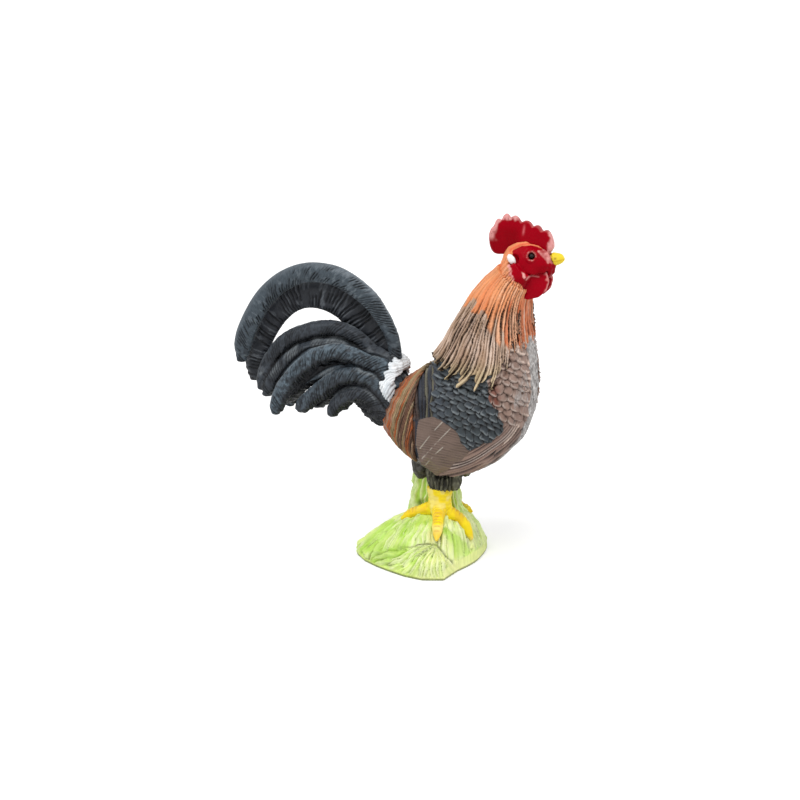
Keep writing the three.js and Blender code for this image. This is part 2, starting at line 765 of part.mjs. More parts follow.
// A block that fills one side of the neck joint's plane, from a distance off it
function neckBlock(way, distance) {
  const turn = new THREE.Quaternion().setFromUnitVectors(Z_WAY, way);
  const middle = upright(NECK_JOINT).addScaledVector(way, distance + BLOCK_SIZE / 2);
  const matrix = new THREE.Matrix4().compose(middle, turn, vec(1, 1, 1));
  return solidOf(new THREE.BoxGeometry(BLOCK_SIZE, BLOCK_SIZE, BLOCK_SIZE), matrix);
}
const belowNeck = (solid, grow = 0) => solid.subtract(neckBlock(NECK_WAY, grow - GLUE_GAP / 2));
const aboveNeck = (solid) => solid.subtract(neckBlock(NECK_WAY.clone().negate(), -GLUE_GAP / 2));
function neckPeg(fit) {
  const from = upright(NECK_JOINT).addScaledVector(NECK_WAY, -NECK_PEG_LENGTH - fit);
  return peg(from, upright(NECK_JOINT).addScaledVector(NECK_WAY, NECK_PEG_LENGTH / 2), NECK_PEG_RADIUS + fit);
}

const TAIL_WAY = vec(tailEnd.front[1] - tailEnd.back[1], 0, tailEnd.back[0] - tailEnd.front[0]).normalize();
function tailPeg(fit) {
  const from = upright(TAIL_JOINT).addScaledVector(TAIL_WAY, -TAIL_PEG_LENGTH - fit);
  return peg(from, upright(TAIL_JOINT).addScaledVector(TAIL_WAY, TAIL_PEG_LENGTH / 2), TAIL_PEG_RADIUS + fit);
}

// Torso
const vent = (grow) =>
  ellipsoid(
    [VENT_X, 0, bellyAt(VENT_X)],
    [VENT_LENGTH / 2 + grow, VENT_WIDTH / 2 + grow, VENT_DROP + grow],
    VENT_BALL,
  );
const torsoShape = (grow) => bodySolid(TORSO_STATIONS, TORSO_ROWS, TORSO_SIDES, grow).add(vent(grow));

// Capes
function hackleEnd(round) {
  const i = Math.max(1, HACKLE_FRINGE.findIndex(([share]) => share >= round));
  const [from, low] = HACKLE_FRINGE[i - 1];
  const [to, high] = HACKLE_FRINGE[i];
  return lerp(low, high, (round - from) / (to - from));
}
const HACKLE = {
  stations: TORSO_STATIONS,
  strands: HACKLE_STRANDS,
  rows: HACKLE_ROWS,
  spread: HACKLE_SPREAD,
  start: HACKLE_TOP,
  end: hackleEnd,
  thickness: HACKLE_THICKNESS,
  relief: HACKLE_RELIEF,
  tipDepth: HACKLE_TIP_DEPTH,
  thinEdge: HACKLE_THIN_EDGE,
  back: -BLANK_DEPTH,
  roomOver: BLANK_DEPTH,
};
const hackle = (grow) => belowNeck(cape(HACKLE, grow), grow);

const SADDLE = {
  stations: TORSO_STATIONS,
  strands: SADDLE_STRANDS,
  rows: SADDLE_ROWS,
  spread: SADDLE_SPREAD,
  start: SADDLE_START,
  end: () => SADDLE_END,
  thickness: SADDLE_THICKNESS,
  relief: SADDLE_RELIEF,
  tipDepth: 0,
  thinEdge: SADDLE_THIN_EDGE,
  back: -BLANK_DEPTH,
  roomOver: BLANK_DEPTH,
};
const saddle = (grow) => cape(SADDLE, grow);

// Wings
const wingStation = stationAt(TORSO_STATIONS, WING_SHARE);
const WING_MIDDLE = shifted(between(wingStation.back, wingStation.front), WING_FROM_STATION);
const wingRadius = outlineRadius(WING_OUTLINE, [0, 0]);
function wing(side, grow) {
  const ring = (out, liftOf) =>
    times(WING_SECTORS, (k) => {
      const round = turnOf(k, WING_SECTORS);
      const r = (wingRadius(round) + grow) * out;
      const offset = [r * Math.cos(round), r * Math.sin(round)];
      return onFlank(shifted(WING_MIDDLE, offset), side, liftOf(out, offset));
    });
  const surface = (out, offset) => {
    const down = (offset[0] * WING_TIP_WAY[0] + offset[1] * WING_TIP_WAY[1]) / WING_REACH;
    const step = (((1 - down) * WING_STEPS) / 2) % 1;
    const ahead = smooth(offset[0], WING_FLAT_FROM, WING_FLAT_TO);
    const edge = lerp(WING_EDGE.rear, WING_EDGE.front, ahead);
    const body = WING_THICKNESS * (1 - (1 - edge) * out ** WING_FALL);
    return GLUE_GAP + grow + body + WING_STEP_RELIEF * (1 - step) * (1 - ahead * out);
  };
  const face = times(WING_RINGS, (i) => ring((i + 1) / WING_RINGS, surface));
  const back = ring(1, () => -BLANK_DEPTH - grow);
  const hub = (lift) => onFlank(WING_MIDDLE, side, lift);
  return dome(hub(surface(0, [0, 0])), face, hub(-2 * BLANK_DEPTH - grow), back);
}
function wingPeg(side, fit) {
  const root = onFlank(WING_MIDDLE, side, 0);
  const from = root.clone().addScaledVector(Y_WAY, -side * (WING_PEG_LENGTH + fit));
  return peg(from, root.clone().addScaledVector(Y_WAY, side * GLUE_GAP * 2), WING_PEG_RADIUS + fit);
}

// Head
const headShape = (grow) =>
  ellipsoid(
    [HEAD_MIDDLE[0], 0, HEAD_MIDDLE[1]],
    [HEAD_LENGTH / 2 + grow, HEAD_WIDTH / 2 + grow, HEAD_HEIGHT / 2 + grow],
    HEAD_BALL,
  );

// How far the head's side stands out at a place, from the head's middle
const headSide = ([x, z]) =>
  (HEAD_WIDTH / 2) * Math.sqrt(Math.max(0, 1 - (2 * x / HEAD_LENGTH) ** 2 - (2 * z / HEAD_HEIGHT) ** 2));
const onHead = (offset, side, aside) => upright(inHead(offset), side * aside).toArray();

function cheek(side) {
  const radii = [CHEEK_RADIUS, CHEEK_RADIUS * CHEEK_FLATNESS, CHEEK_RADIUS];
  return ellipsoid(onHead(CHEEK_FROM_HEAD, side, CHEEK_ASIDE), radii, SMALL_BALL);
}

function eye(side, grow) {
  const aside = headSide(EYE_FROM_HEAD) + EYE_PROUD - EYE_RADIUS;
  const r = EYE_RADIUS + grow;
  return ellipsoid(onHead(EYE_FROM_HEAD, side, aside), [r, r, r], SMALL_BALL);
}

function lobe(side, grow) {
  const radii = [LOBE_LENGTH / 2 + grow, LOBE_THICKNESS / 2 + grow, LOBE_HEIGHT / 2 + grow];
  return ellipsoid(onHead(LOBE_FROM_HEAD, side, headSide(LOBE_FROM_HEAD)), radii, SMALL_BALL);
}

function wattle(side, grow) {
  const radii = [WATTLE_LENGTH / 2 + grow, WATTLE_THICKNESS / 2 + grow, WATTLE_HEIGHT / 2 + grow];
  const turn = radians(-side * WATTLE_SPLAY);
  return ellipsoid(onHead(WATTLE_FROM_HEAD, side, WATTLE_ASIDE), radii, WATTLE_BALL, turn);
}

// Comb: four layers of its outline, narrower at the faces and thinner towards the tips
function comb() {
  const shape = new THREE.Shape();
  const [nape, heel, backPull, backTop, lastPull] = COMB_BACK;
  const [front, browPull, ...brow] = COMB_BROW;
  shape.moveTo(...nape);
  shape.lineTo(...heel);
  shape.quadraticCurveTo(...backPull, ...backTop);
  shape.quadraticCurveTo(...lastPull, ...COMB_POINTS[0].valley);
  COMB_POINTS.forEach(({ tip }, i) => {
    shape.quadraticCurveTo(...tip, ...(COMB_POINTS[i + 1]?.valley ?? front));
  });
  shape.quadraticCurveTo(...browPull, ...brow[0]);
  for (const point of brow.slice(1)) shape.lineTo(...point);
  const layer = (shrink, aside) =>
    shape.getPoints(COMB_CURVE_STEPS).map((p) => {
      const z = lerp(p.y, COMB_MIDDLE[1], shrink);
      const thin = lerp(1, COMB_TIP_THINNING, smooth(z, COMB_MIDDLE[1], COMB_TOP));
      return upright(inHead([lerp(p.x, COMB_MIDDLE[0], shrink), z]), aside * thin);
    });
  const face = COMB_THICKNESS / 2;
  const rim = face * COMB_RIM;
  return loft([layer(COMB_BEVEL, face), layer(0, rim), layer(0, -rim), layer(COMB_BEVEL, -face)]);
}
function combTab(fit) {
  const [x, z] = inHead([COMB_TAB_X, HEAD_HEIGHT / 2]);
  const size = [COMB_TAB_LENGTH + 2 * fit, COMB_TAB_THICKNESS + 2 * fit, 2 * (COMB_TAB_DEPTH + fit)];
  return solidOf(new THREE.BoxGeometry(...size), new THREE.Matrix4().setPosition(x, 0, z));
}

// Beak
function beak(grow) {
  const root = inHead(BEAK_FROM_HEAD);
  return loft(
    times(BEAK_STEPS + 1, (i) => {
      const along = i / BEAK_STEPS;
      const size = Math.max(BEAK_TIP, Math.sqrt(1 - along ** BEAK_BLUNTNESS)) / 2;
      const middle = upright(shifted(root, [BEAK_LENGTH * along, -BEAK_DROOP * along ** 2]));
      return ringAt(middle, Y_WAY, Z_WAY, BEAK_WIDTH * size + grow, BEAK_HEIGHT * size + grow, BEAK_SIDES);
    }),
  );
}
function beakPeg(fit) {
  const root = upright(inHead(BEAK_FROM_HEAD));
  const from = root.clone().addScaledVector(X_WAY, -BEAK_PEG_LENGTH - fit);
  return peg(from, root.clone().addScaledVector(X_WAY, BEAK_LENGTH / 2), BEAK_PEG_RADIUS + fit);
}

// Tail: its first station stands off the torso's rear end by the glue gap
const inTailStation = ({ back, front, half }) => ({ back: inTail(back), front: inTail(front), half });
const standOff = [TAIL_WAY.x * GLUE_GAP, TAIL_WAY.z * GLUE_GAP];
const tailStations = [
  { back: shifted(tailEnd.back, standOff), front: shifted(tailEnd.front, standOff), half: tailEnd.half },
  ...TAIL_STATIONS.map(inTailStation),
];

// A plume: a flattened band along its line, narrow at the root and round at the tip
function plume({ line, aside, half, thick, tipHalf = half }, side, grow, steps, sides) {
  const spots = line.map((point, i) => {
    const outOfRoot = smooth(i / (line.length - 1), 0, PLUME_ROOT_REACH);
    const clear = sideways(aside) * lerp(PLUME_ROOT_ASIDE, 1, outOfRoot);
    return upright(inTail(inSideView(point)), side * clear);
  });
  const curve = openCurve(spots, grow);
  return loft(
    times(steps + 1, (i) => {
      const along = 1 - (1 - i / steps) ** PLUME_STEP_TAPER;
      const onward = curve.getTangentAt(along);
      const across = Y_WAY.clone().cross(onward).normalize();
      const out = onward.clone().cross(across).normalize();
      const root = lerp(PLUME_ROOT, 1, smooth(along, 0, PLUME_ROOT_REACH));
      const nearTip = Math.max(0, 1 - (1 - along) / PLUME_TIP_REACH);
      const tip = Math.max(PLUME_TIP_WIDTH, Math.sqrt(1 - nearTip ** 2));
      const width = stretched(lerp(half, tipHalf, along) * root * tip, across) + grow;
      const height = stretched(thick * root * lerp(PLUME_TIP_THICKNESS, 1, tip), out) + grow;
      const turn = sides > PLUME_SIDES ? 0.5 : 0;
      return ringAt(curve.getPointAt(along), across, out, width, height, sides, turn);
    }),
  );
}
const sickle = (side, grow) => plume(SICKLES[nameOf(side)], side, grow, SICKLE_STEPS, SICKLE_SIDES);
const fanPlume = (form, side) => plume(form, side, 0, PLUME_STEPS, PLUME_SIDES);

const TUFT = {
  stations: tailStations,
  strands: TUFT_STRANDS,
  rows: TUFT_ROWS,
  spread: TUFT_SPREAD,
  start: TUFT_FRONT,
  end: () => TUFT_REAR,
  thickness: TUFT_THICKNESS,
  relief: TUFT_RELIEF,
  tipDepth: TUFT_TIP_DEPTH,
  thinEdge: TUFT_THIN_EDGE,
  back: GLUE_GAP,
  roomOver: 0,
};
const tuft = (grow) => cape(TUFT, grow);

// Grass mound
const moundRadius = outlineRadius(MOUND_OUTLINE, MOUND_MIDDLE);
function moundPoint(round, out) {
  const towards = ({ middle, forward, right }) =>
    middle + forward * Math.cos(round) - right * Math.sin(round);
  const slope = (1 - out ** towards(MOUND_SWELL)) ** towards(MOUND_SHOULDER);
  const fold = MOUND_FOLD * Math.sin(round * MOUND_FOLDS + out * MOUND_FOLD_TWIST) * 4 * out * (1 - out);
  const reach = moundRadius(round) * out;
  const [x, y] = shifted(MOUND_MIDDLE, [reach * Math.cos(round), reach * Math.sin(round)]);
  return vec(x, y, MOUND_EDGE + (MOUND_HEIGHT - MOUND_EDGE) * slope + fold);
}

// Height of the grass under a point
function grassAt(x, y) {
  const [dx, dy] = [x - MOUND_MIDDLE[0], y - MOUND_MIDDLE[1]];
  const round = Math.atan2(dy, dx);
  return moundPoint(round, Math.min(1, Math.hypot(dx, dy) / moundRadius(round))).z;
}

function mound() {
  const ring = (point) => times(MOUND_SECTORS, (k) => point(turnOf(k, MOUND_SECTORS)));
  const under = ring((round) => moundPoint(round, 1 - MOUND_FOOT_INSET).setZ(0));
  const edge = ring((round) => moundPoint(round, 1).setZ(MOUND_EDGE / 2));
  const slopes = times(MOUND_RINGS, (i) => {
    const out = (1 - MOUND_RIM_INSET) * (1 - i / MOUND_RINGS);
    return ring((round) => moundPoint(round, out));
  });
  return loft([under, edge, ...slopes]);
}

const clump = (grow) =>
  ribbed(
    upright([CLUMP_X, MOUND_HEIGHT / 2]),
    [CLUMP_LENGTH, CLUMP_WIDTH, bellyAt(CLUMP_X) + THIGH_RISE - MOUND_HEIGHT / 2],
    (up) => 1 + CLUMP_FLARE * (1 - up) ** 2,
    CLUMP_RIB,
    [CLUMP_SIDES, CLUMP_ROWS],
    grow,
  );

// A blade of grass lying down the slope
function blade(k) {
  const round = turnOf(k + BLADE_PLACE_VARIES * Math.sin(k * BLADE_RHYTHM.place), BLADE_COUNT);
  const start = BLADE_START + BLADE_START_VARIES * Math.sin(k * BLADE_RHYTHM.start);
  const bend = BLADE_BEND * Math.sin(k * BLADE_RHYTHM.bend);
  return loft(
    times(BLADE_STEPS + 1, (i) => {
      const along = i / BLADE_STEPS;
      const out = Math.min(BLADE_REACH_LIMIT, start + (BLADE_LENGTH / moundRadius(round)) * along);
      const at = moundPoint(round + bend * along, out);
      const across = moundPoint(round + bend * along + BLADE_TURN_STEP, out).sub(at).normalize();
      const swell = lerp(BLADE_ROOT, 1 - BLADE_POINT, along);
      const width = BLADE_HALF_WIDTH * Math.sqrt(Math.sin(Math.PI * swell));
      const low = at.clone().addScaledVector(Z_WAY, -BLADE_DEPTH);
      const crest = at.clone().addScaledVector(Z_WAY, BLADE_PROUD * lerp(BLADE_ROOT_RISE, 1, along));
      return [low.clone().addScaledVector(across, -width), low.clone().addScaledVector(across, width), crest];
    }),
  );
}

// Legs: the ankle stands just over the grass, the thigh and the shank's end hang from the belly
const legX = (side) => (side === LEFT ? LEG_X - LEFT_LEG_BACK : LEG_X);
const thighFoot = bellyAt(LEG_X) - THIGH_DROP;
const shankTop = bellyAt(LEG_X) - THIGH_DROP / 3;
function ankle(side) {
  const [x, y] = [legX(side), (side * LEG_SPACING) / 2];
  return vec(x, y, grassAt(x, y) + ANKLE_OVER_GRASS);
}
const thighShape = (side) =>
  ribbed(
    vec(legX(side) + THIGH_AHEAD, (side * LEG_SPACING) / 2, thighFoot),
    [THIGH_LENGTH, THIGH_WIDTH, THIGH_DROP + THIGH_RISE],
    (up) => lerp(THIGH_HEM, 1, smooth(up, 0, 0.5)),
    THIGH_RIB,
    [THIGH_SIDES, THIGH_ROWS],
    0,
  );
function shankPin(side, fit) {
  const from = ankle(side).setZ(shankTop - SHANK_PIN_ROOT);
  return peg(from, from.clone().setZ(shankTop + SHANK_PIN_LENGTH + fit), SHANK_PIN_RADIUS + fit);
}

function shank(at, grow) {
  const heights = [at.z - SHANK_RADIUS, at.z, at.z + SHANK_RADIUS, shankTop];
  return loft(
    heights.map((z, i) => {
      const r = SHANK_RADIUS * SHANK_GIRTHS[i] + grow;
      const end = [-grow, 0, 0, grow][i];
      return ringAt(at.clone().setZ(z + end), X_WAY, Y_WAY, r, r, PEG_SIDES);
    }),
  );
}

function toe(at, side, [forward, outward], grow) {
  const spots = times(4, (i) => {
    const x = at.x + (forward * i) / 3;
    const y = at.y + (side * outward * i) / 3;
    const rise = TOE_RADIUS * (1 - TOE_SINK) * (1 - TOE_FALL * i);
    return vec(x, y, i ? Math.min(at.z, grassAt(x, y) + rise) : at.z);
  });
  const curve = openCurve(spots, grow);
  return loft(
    times(TOE_STEPS + 1, (i) => {
      const along = i / TOE_STEPS;
      const onward = curve.getTangentAt(along);
      const across = Z_WAY.clone().cross(onward).normalize();
      const up = onward.clone().cross(across).normalize();
      const knuckle = 1 + TOE_KNUCKLE_RELIEF * Math.cos(along * Math.PI * 2 * TOE_KNUCKLES);
      const inClaw = Math.max(0, 1 - (1 - along) / TOE_CLAW);
      const tip = Math.max(TOE_CLAW_END, Math.sqrt(1 - inClaw ** 2));
      const r = TOE_RADIUS * knuckle * (1 - TOE_THINNING * along) * tip + grow;
      return ringAt(curve.getPointAt(along), across, up, r, r, TOE_SIDES);
    }),
  );
}

function foot(side, grow) {
  const at = ankle(side);
  const toes = TOE_TIPS[nameOf(side)].map((tip) => toe(at, side, fromAbove(tip), grow));
  return joined([shank(at, grow), ...toes]);
}

// A group for each region, standing at its joint
const figurine = new THREE.Group();
function region(at) {
  const group = new THREE.Group();
  group.position.copy(at);
  figurine.add(group);
  return group;
}

// Adds a solid to a region as a mesh, in the region's own frame
function place(group, name, solid, look) {
  const { numVert, numProp, vertProperties, triVerts } = solid.getMesh();
  const positions = new Float32Array(numVert * 3);
  for (let i = 0; i < numVert; i++) {
    for (let k = 0; k < 3; k++) positions[3 * i + k] = vertProperties[numProp * i + k];
  }
  const geometry = new THREE.BufferGeometry();
  geometry.setAttribute("position", new THREE.BufferAttribute(positions, 3));
  geometry.setIndex(new THREE.BufferAttribute(new Uint32Array(triVerts), 1));
  geometry.translate(-group.position.x, -group.position.y, -group.position.z);
  const mesh = new THREE.Mesh(geometry, LOOKS[look]);
  mesh.name = name;
  group.add(mesh);
}

const body = region(vec(0, 0, 0));
const headRegion = region(upright(NECK_JOINT));
const tailRegion = region(upright(TAIL_JOINT));
const legRegions = new Map(SIDES.map((side) => [side, region(ankle(side))]));
const torsoRoom = torsoShape(GLUE_GAP);
const grownTorso = belowNeck(torsoRoom, GLUE_GAP);

// Torso, with the sockets of what is glued to it
const sockets = [neckPeg, tailPeg].map((holder) => holder(PEG_FIT));
sockets.push(...SIDES.flatMap((side) => [wingPeg(side, PEG_FIT), shankPin(side, PEG_FIT)]));
place(body, "torso", without(belowNeck(torsoShape(0)), sockets), "breast");
place(body, "neck_hackle", belowNeck(without(cape(HACKLE, 0), [torsoRoom])), "hackle");
place(body, "saddle_hackle", without(saddle(0), [grownTorso]), "saddle");
for (const side of SIDES) {
  const plate = without(wing(side, 0), [grownTorso, hackle(GLUE_GAP), saddle(GLUE_GAP)]);
  place(body, `wing_${nameOf(side)}`, plate.add(wingPeg(side, 0)), "wing");
}

// Head and what it carries
const nape = bodySolid(TORSO_STATIONS, TORSO_ROWS, NAPE_SIDES, NAPE_FULLNESS);
const skull = aboveNeck(joined([headShape(0), nape, ...SIDES.map(cheek)])).add(neckPeg(0));
const seats = SIDES.flatMap((side) => [eye, lobe, wattle].map((piece) => piece(side, GLUE_GAP)));
place(headRegion, "head", without(skull, [combTab(PEG_FIT), beakPeg(PEG_FIT), ...seats]), "flesh");
place(headRegion, "comb", without(comb(), [headShape(GLUE_GAP), beak(GLUE_GAP)]).add(combTab(0)), "flesh");
place(headRegion, "beak", beak(0).subtract(headShape(GLUE_GAP)).add(beakPeg(0)), "beak");
for (const side of SIDES) {
  const hung = without(wattle(side, 0), [grownTorso, hackle(GLUE_GAP)]);
  place(headRegion, `wattle_${nameOf(side)}`, hung, "flesh");
  place(headRegion, `ear_lobe_${nameOf(side)}`, lobe(side, 0), "lobe");
  place(headRegion, `eye_${nameOf(side)}`, eye(side, 0), "eye");
}

// Tail: the fan, the two sickles and the tuft
const plumes = [
  ...MIDDLE_PLUMES.map((form) => fanPlume(form, RIGHT)),
  ...SIDES.flatMap((side) => OUTER_PLUMES.map((form) => fanPlume(form, side))),
];
const fan = joined([bodySolid(tailStations, TAIL_ROWS, TAIL_SIDES, 0), ...plumes]);
const sickleRooms = SIDES.map((side) => sickle(side, GLUE_GAP));
const fanPiece = without(fan, [tuft(GLUE_GAP), saddle(GLUE_GAP), grownTorso, ...sickleRooms]);
place(tailRegion, "tail_fan", fanPiece.add(tailPeg(0)), "tail");
for (const side of SIDES) {
  place(tailRegion, `sickle_${nameOf(side)}`, sickle(side, 0).subtract(tuft(GLUE_GAP)), "tail");
}
place(tailRegion, "tail_tuft", without(tuft(0), [saddle(GLUE_GAP), grownTorso]), "tuft");

// Legs
for (const side of SIDES) {
  const thigh = without(thighShape(side), [
    grownTorso,
    foot(side, GLUE_GAP),
    shankPin(side, PEG_FIT),
    clump(GLUE_GAP),
    wing(side, GLUE_GAP),
  ]);
  place(legRegions.get(side), `thigh_${nameOf(side)}`, thigh, "breast");
  place(legRegions.get(side), `foot_${nameOf(side)}`, foot(side, 0).add(shankPin(side, 0)), "foot");
}

// Base
const grass = joined([mound(), clump(0), ...times(BLADE_COUNT, blade)]);
const footRooms = SIDES.map((side) => foot(side, GLUE_GAP));
place(body, "grass_base", without(grass, [grownTorso, ...footRooms]), "grass");

export default figurine;
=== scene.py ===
"""A moulded, hand-painted rooster figurine: feathers, skin and grass are carved over the CAD and painted."""

import math
import bmesh
import bpy
import numpy as np
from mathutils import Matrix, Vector


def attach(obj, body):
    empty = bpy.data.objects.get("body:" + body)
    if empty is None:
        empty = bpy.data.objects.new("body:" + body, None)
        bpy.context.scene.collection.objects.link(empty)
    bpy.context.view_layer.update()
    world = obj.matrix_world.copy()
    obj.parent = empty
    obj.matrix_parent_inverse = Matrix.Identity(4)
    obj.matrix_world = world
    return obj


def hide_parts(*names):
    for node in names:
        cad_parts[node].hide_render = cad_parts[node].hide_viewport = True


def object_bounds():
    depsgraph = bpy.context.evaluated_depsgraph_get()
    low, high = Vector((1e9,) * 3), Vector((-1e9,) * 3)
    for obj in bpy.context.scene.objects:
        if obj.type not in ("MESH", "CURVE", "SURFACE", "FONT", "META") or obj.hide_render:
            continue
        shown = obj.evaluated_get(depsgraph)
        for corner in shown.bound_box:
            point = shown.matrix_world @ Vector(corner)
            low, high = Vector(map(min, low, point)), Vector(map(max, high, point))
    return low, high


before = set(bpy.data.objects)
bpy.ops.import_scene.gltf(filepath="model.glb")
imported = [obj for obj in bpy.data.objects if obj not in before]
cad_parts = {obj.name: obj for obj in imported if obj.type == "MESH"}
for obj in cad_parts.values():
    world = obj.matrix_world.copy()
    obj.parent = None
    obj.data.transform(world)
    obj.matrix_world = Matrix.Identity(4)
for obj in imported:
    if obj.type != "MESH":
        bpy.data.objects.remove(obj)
cad_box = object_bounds()
MM = 0.001
CAD_LOW, CAD_HIGH = (np.array(corner) / MM for corner in cad_box)

# The camera, at the photograph's angle, and the plain studio
CAMERA_AZIMUTH = 20
CAMERA_ELEVATION = 14
CAMERA_DISTANCE = 380 * MM
CAMERA_TARGET = Vector((-5.2, 0, 30.5)) * MM
VIEW_WIDTH = 156 * MM
# Each lamp: where it stands (azimuth, elevation), its strength and how wide it looks, in degrees
LAMPS = ((0, 58, 1.35, 35), (95, 40, 0.55, 40), (-80, 45, 0.35, 50))


def linear(hex_colour):
    """An sRGB hex colour as the linear colour that a shader takes."""
    parts = [int(hex_colour[i : i + 2], 16) / 255 for i in (1, 3, 5)]
    return tuple(p / 12.92 if p <= 0.04045 else ((p + 0.055) / 1.055) ** 2.4 for p in parts) + (1,)


def add(tree, kind, inputs=None, **settings):
    """Adds one shader node with its settings, and sets its inputs or links them. A node stands for its first
    output."""
    made = tree.nodes.new(kind)
    for name, value in settings.items():
        setattr(made, name, value)
    for name, value in (inputs or {}).items():
        if isinstance(value, bpy.types.Node):
            value = value.outputs[0]
        if isinstance(value, bpy.types.NodeSocket):
            tree.links.new(value, made.inputs[name])
        else:
            made.inputs[name].default_value = value
    return made


def empty_tree(owner):
    """The node tree of a material or of the world, emptied."""
    owner.use_nodes = True
    owner.node_tree.nodes.clear()
    return owner.node_tree


def way_from(azimuth, elevation):
    """The way from the object to what stands at these angles, in degrees."""
    a, e = math.radians(azimuth), math.radians(elevation)
    return Vector((math.sin(a) * math.cos(e), -math.cos(a) * math.cos(e), math.sin(e)))


def studio():
    """Floor, white surroundings, wide soft lamps and the camera."""
    scene = bpy.context.scene
    scene.view_settings.view_transform = "Standard"
    world = bpy.data.worlds.new("white_surroundings")
    scene.world = world
    tree = empty_tree(world)
    rays = add(tree, "ShaderNodeLightPath").outputs
    seen = {0: rays["Is Camera Ray"], 1: rays["Is Glossy Ray"]}
    seen = add(tree, "ShaderNodeMath", seen, operation="MAXIMUM")
    strength = add(tree, "ShaderNodeMapRange", {"Value": seen, "To Min": 0.6, "To Max": 1.0})
    light = add(tree, "ShaderNodeBackground", {"Color": (1, 1, 1, 1), "Strength": strength})
    add(tree, "ShaderNodeOutputWorld", {"Surface": light})

    bpy.ops.mesh.primitive_plane_add(size=12)
    floor = bpy.context.object
    floor.name = "studio_floor"
    paper = bpy.data.materials.new("white_paper_sweep")
    tree = empty_tree(paper)
    matt = add(tree, "ShaderNodeBsdfDiffuse", {"Color": linear("#e9e9e9")})
    rays = add(tree, "ShaderNodeLightPath").outputs
    seen = add(tree, "ShaderNodeMath", {0: rays["Is Camera Ray"], 1: 0.35}, operation="MULTIPLY")
    glow = add(tree, "ShaderNodeEmission", {"Color": (1, 1, 1, 1), "Strength": seen})
    both = add(tree, "ShaderNodeAddShader", {0: matt, 1: glow})
    add(tree, "ShaderNodeOutputMaterial", {"Surface": both})
    floor.data.materials.append(paper)

    for azimuth, elevation, strength, width in LAMPS:
        lamp = bpy.data.lights.new("softbox", "SUN")
        lamp.energy = strength
        lamp.angle = math.radians(width)
        holder = bpy.data.objects.new("softbox", lamp)
        holder.rotation_euler = way_from(azimuth, elevation).to_track_quat("Z", "Y").to_euler()
        scene.collection.objects.link(holder)

    lens = bpy.data.cameras.new("photo_camera")
    lens.sensor_width = 36
    lens.lens = 36 * CAMERA_DISTANCE / VIEW_WIDTH
    lens.clip_start = 0.01
    lens.clip_end = 20
    camera = bpy.data.objects.new("photo_camera", lens)
    back = way_from(CAMERA_AZIMUTH, CAMERA_ELEVATION)
    camera.location = CAMERA_TARGET + back * CAMERA_DISTANCE
    camera.rotation_euler = (-back).to_track_quat("-Z", "Y").to_euler()
    scene.collection.objects.link(camera)
    scene.camera = camera


# Painted plastic
def painted_plastic(name, base, coats, roughness=0.45, gloss=0.25, barbs=None, grain=0.03):
    """Moulded soft PVC under hand paint: a base colour, then each coat (mask's name, colour, strength, mask)
    brushed over it. A mask is an attribute of the mesh. barbs is (spacing mm, colour, strength) of fine lines
    along the feathers, and grain is the depth of the brush marks in mm."""
    material = bpy.data.materials.new(name)
    tree = empty_tree(material)
    place = add(tree, "ShaderNodeTexCoord").outputs["Object"]
    # The brush leaves patches of about 0.7 mm
    spots = {"Vector": place, "Scale": 1000 / 0.7, "Detail": 4.0, "Roughness": 0.6}
    brush = add(tree, "ShaderNodeTexNoise", spots)
    # Paint that is thicker here and thinner there, over about 4 mm
    cloud = add(tree, "ShaderNodeTexNoise", {"Vector": place, "Scale": 1000 / 4, "Detail": 2.0})
    # What they vary: how light the colour is, how well a coat covers, and the shine
    uneven, patchy, shine = (
        add(
            tree,
            "ShaderNodeMapRange",
            {"Value": source, "From Min": 0.3, "From Max": high, "To Min": least, "To Max": most},
        )
        for source, high, least, most in (
            (cloud, 0.7, 0.9, 1.08),
            (brush, 0.55, 0.7, 1),
            (brush, 0.7, roughness - 0.05, roughness + 0.06),
        )
    )
    covers = []
    for mask, coat, strength, _ in coats:
        amount = add(tree, "ShaderNodeAttribute", attribute_name=mask).outputs["Fac"]
        cover = add(tree, "ShaderNodeMath", {0: amount, 1: patchy}, operation="MULTIPLY")
        covers.append((cover, coat, strength))
    height = brush
    if barbs:
        spacing, line_colour, line_strength = barbs
        lie = add(tree, "ShaderNodeAttribute", attribute_name="lie").outputs["Vector"]
        scale = (0.22 / spacing, 1 / spacing, 1.0)
        fine = add(tree, "ShaderNodeVectorMath", {0: lie, 1: scale}, operation="MULTIPLY")
        lines = add(tree, "ShaderNodeTexNoise", {"Vector": fine, "Scale": 1.0, "Detail": 2.0})
        edges = {"Value": lines, "From Min": 0.38, "From Max": 0.56, "To Min": 1.0, "To Max": 0.0}
        covers.append((add(tree, "ShaderNodeMapRange", edges), line_colour, line_strength))
        height = add(tree, "ShaderNodeMath", {0: brush, 1: lines}, operation="ADD")
    colour = linear(base)
    for cover, coat, strength in covers:
        cover = add(tree, "ShaderNodeMath", {0: cover, 1: strength}, operation="MULTIPLY", use_clamp=True)
        mixed = add(tree, "ShaderNodeMix", {0: cover, 6: colour, 7: linear(coat)}, data_type="RGBA")
        colour = mixed.outputs[2]
    # A base without coats is no socket but a plain value, and goes in by its three parts
    mixed = colour if covers else colour[:3]
    colour = add(tree, "ShaderNodeVectorMath", {0: mixed, "Scale": uneven}, operation="SCALE")
    bump = add(tree, "ShaderNodeBump", {"Height": height, "Strength": 0.3, "Distance": grain * MM})
    surface = add(
        tree,
        "ShaderNodeBsdfPrincipled",
        {"Base Color": colour, "Roughness": shine, "IOR": 1.5, "Specular IOR Level": gloss, "Normal": bump},
    )
    add(tree, "ShaderNodeOutputMaterial", {"Surface": surface})
    return material


def masked(coats, masks):
    """The coats, each with its mask."""
    return [(*coat, masks[coat[0]]) for coat in coats]


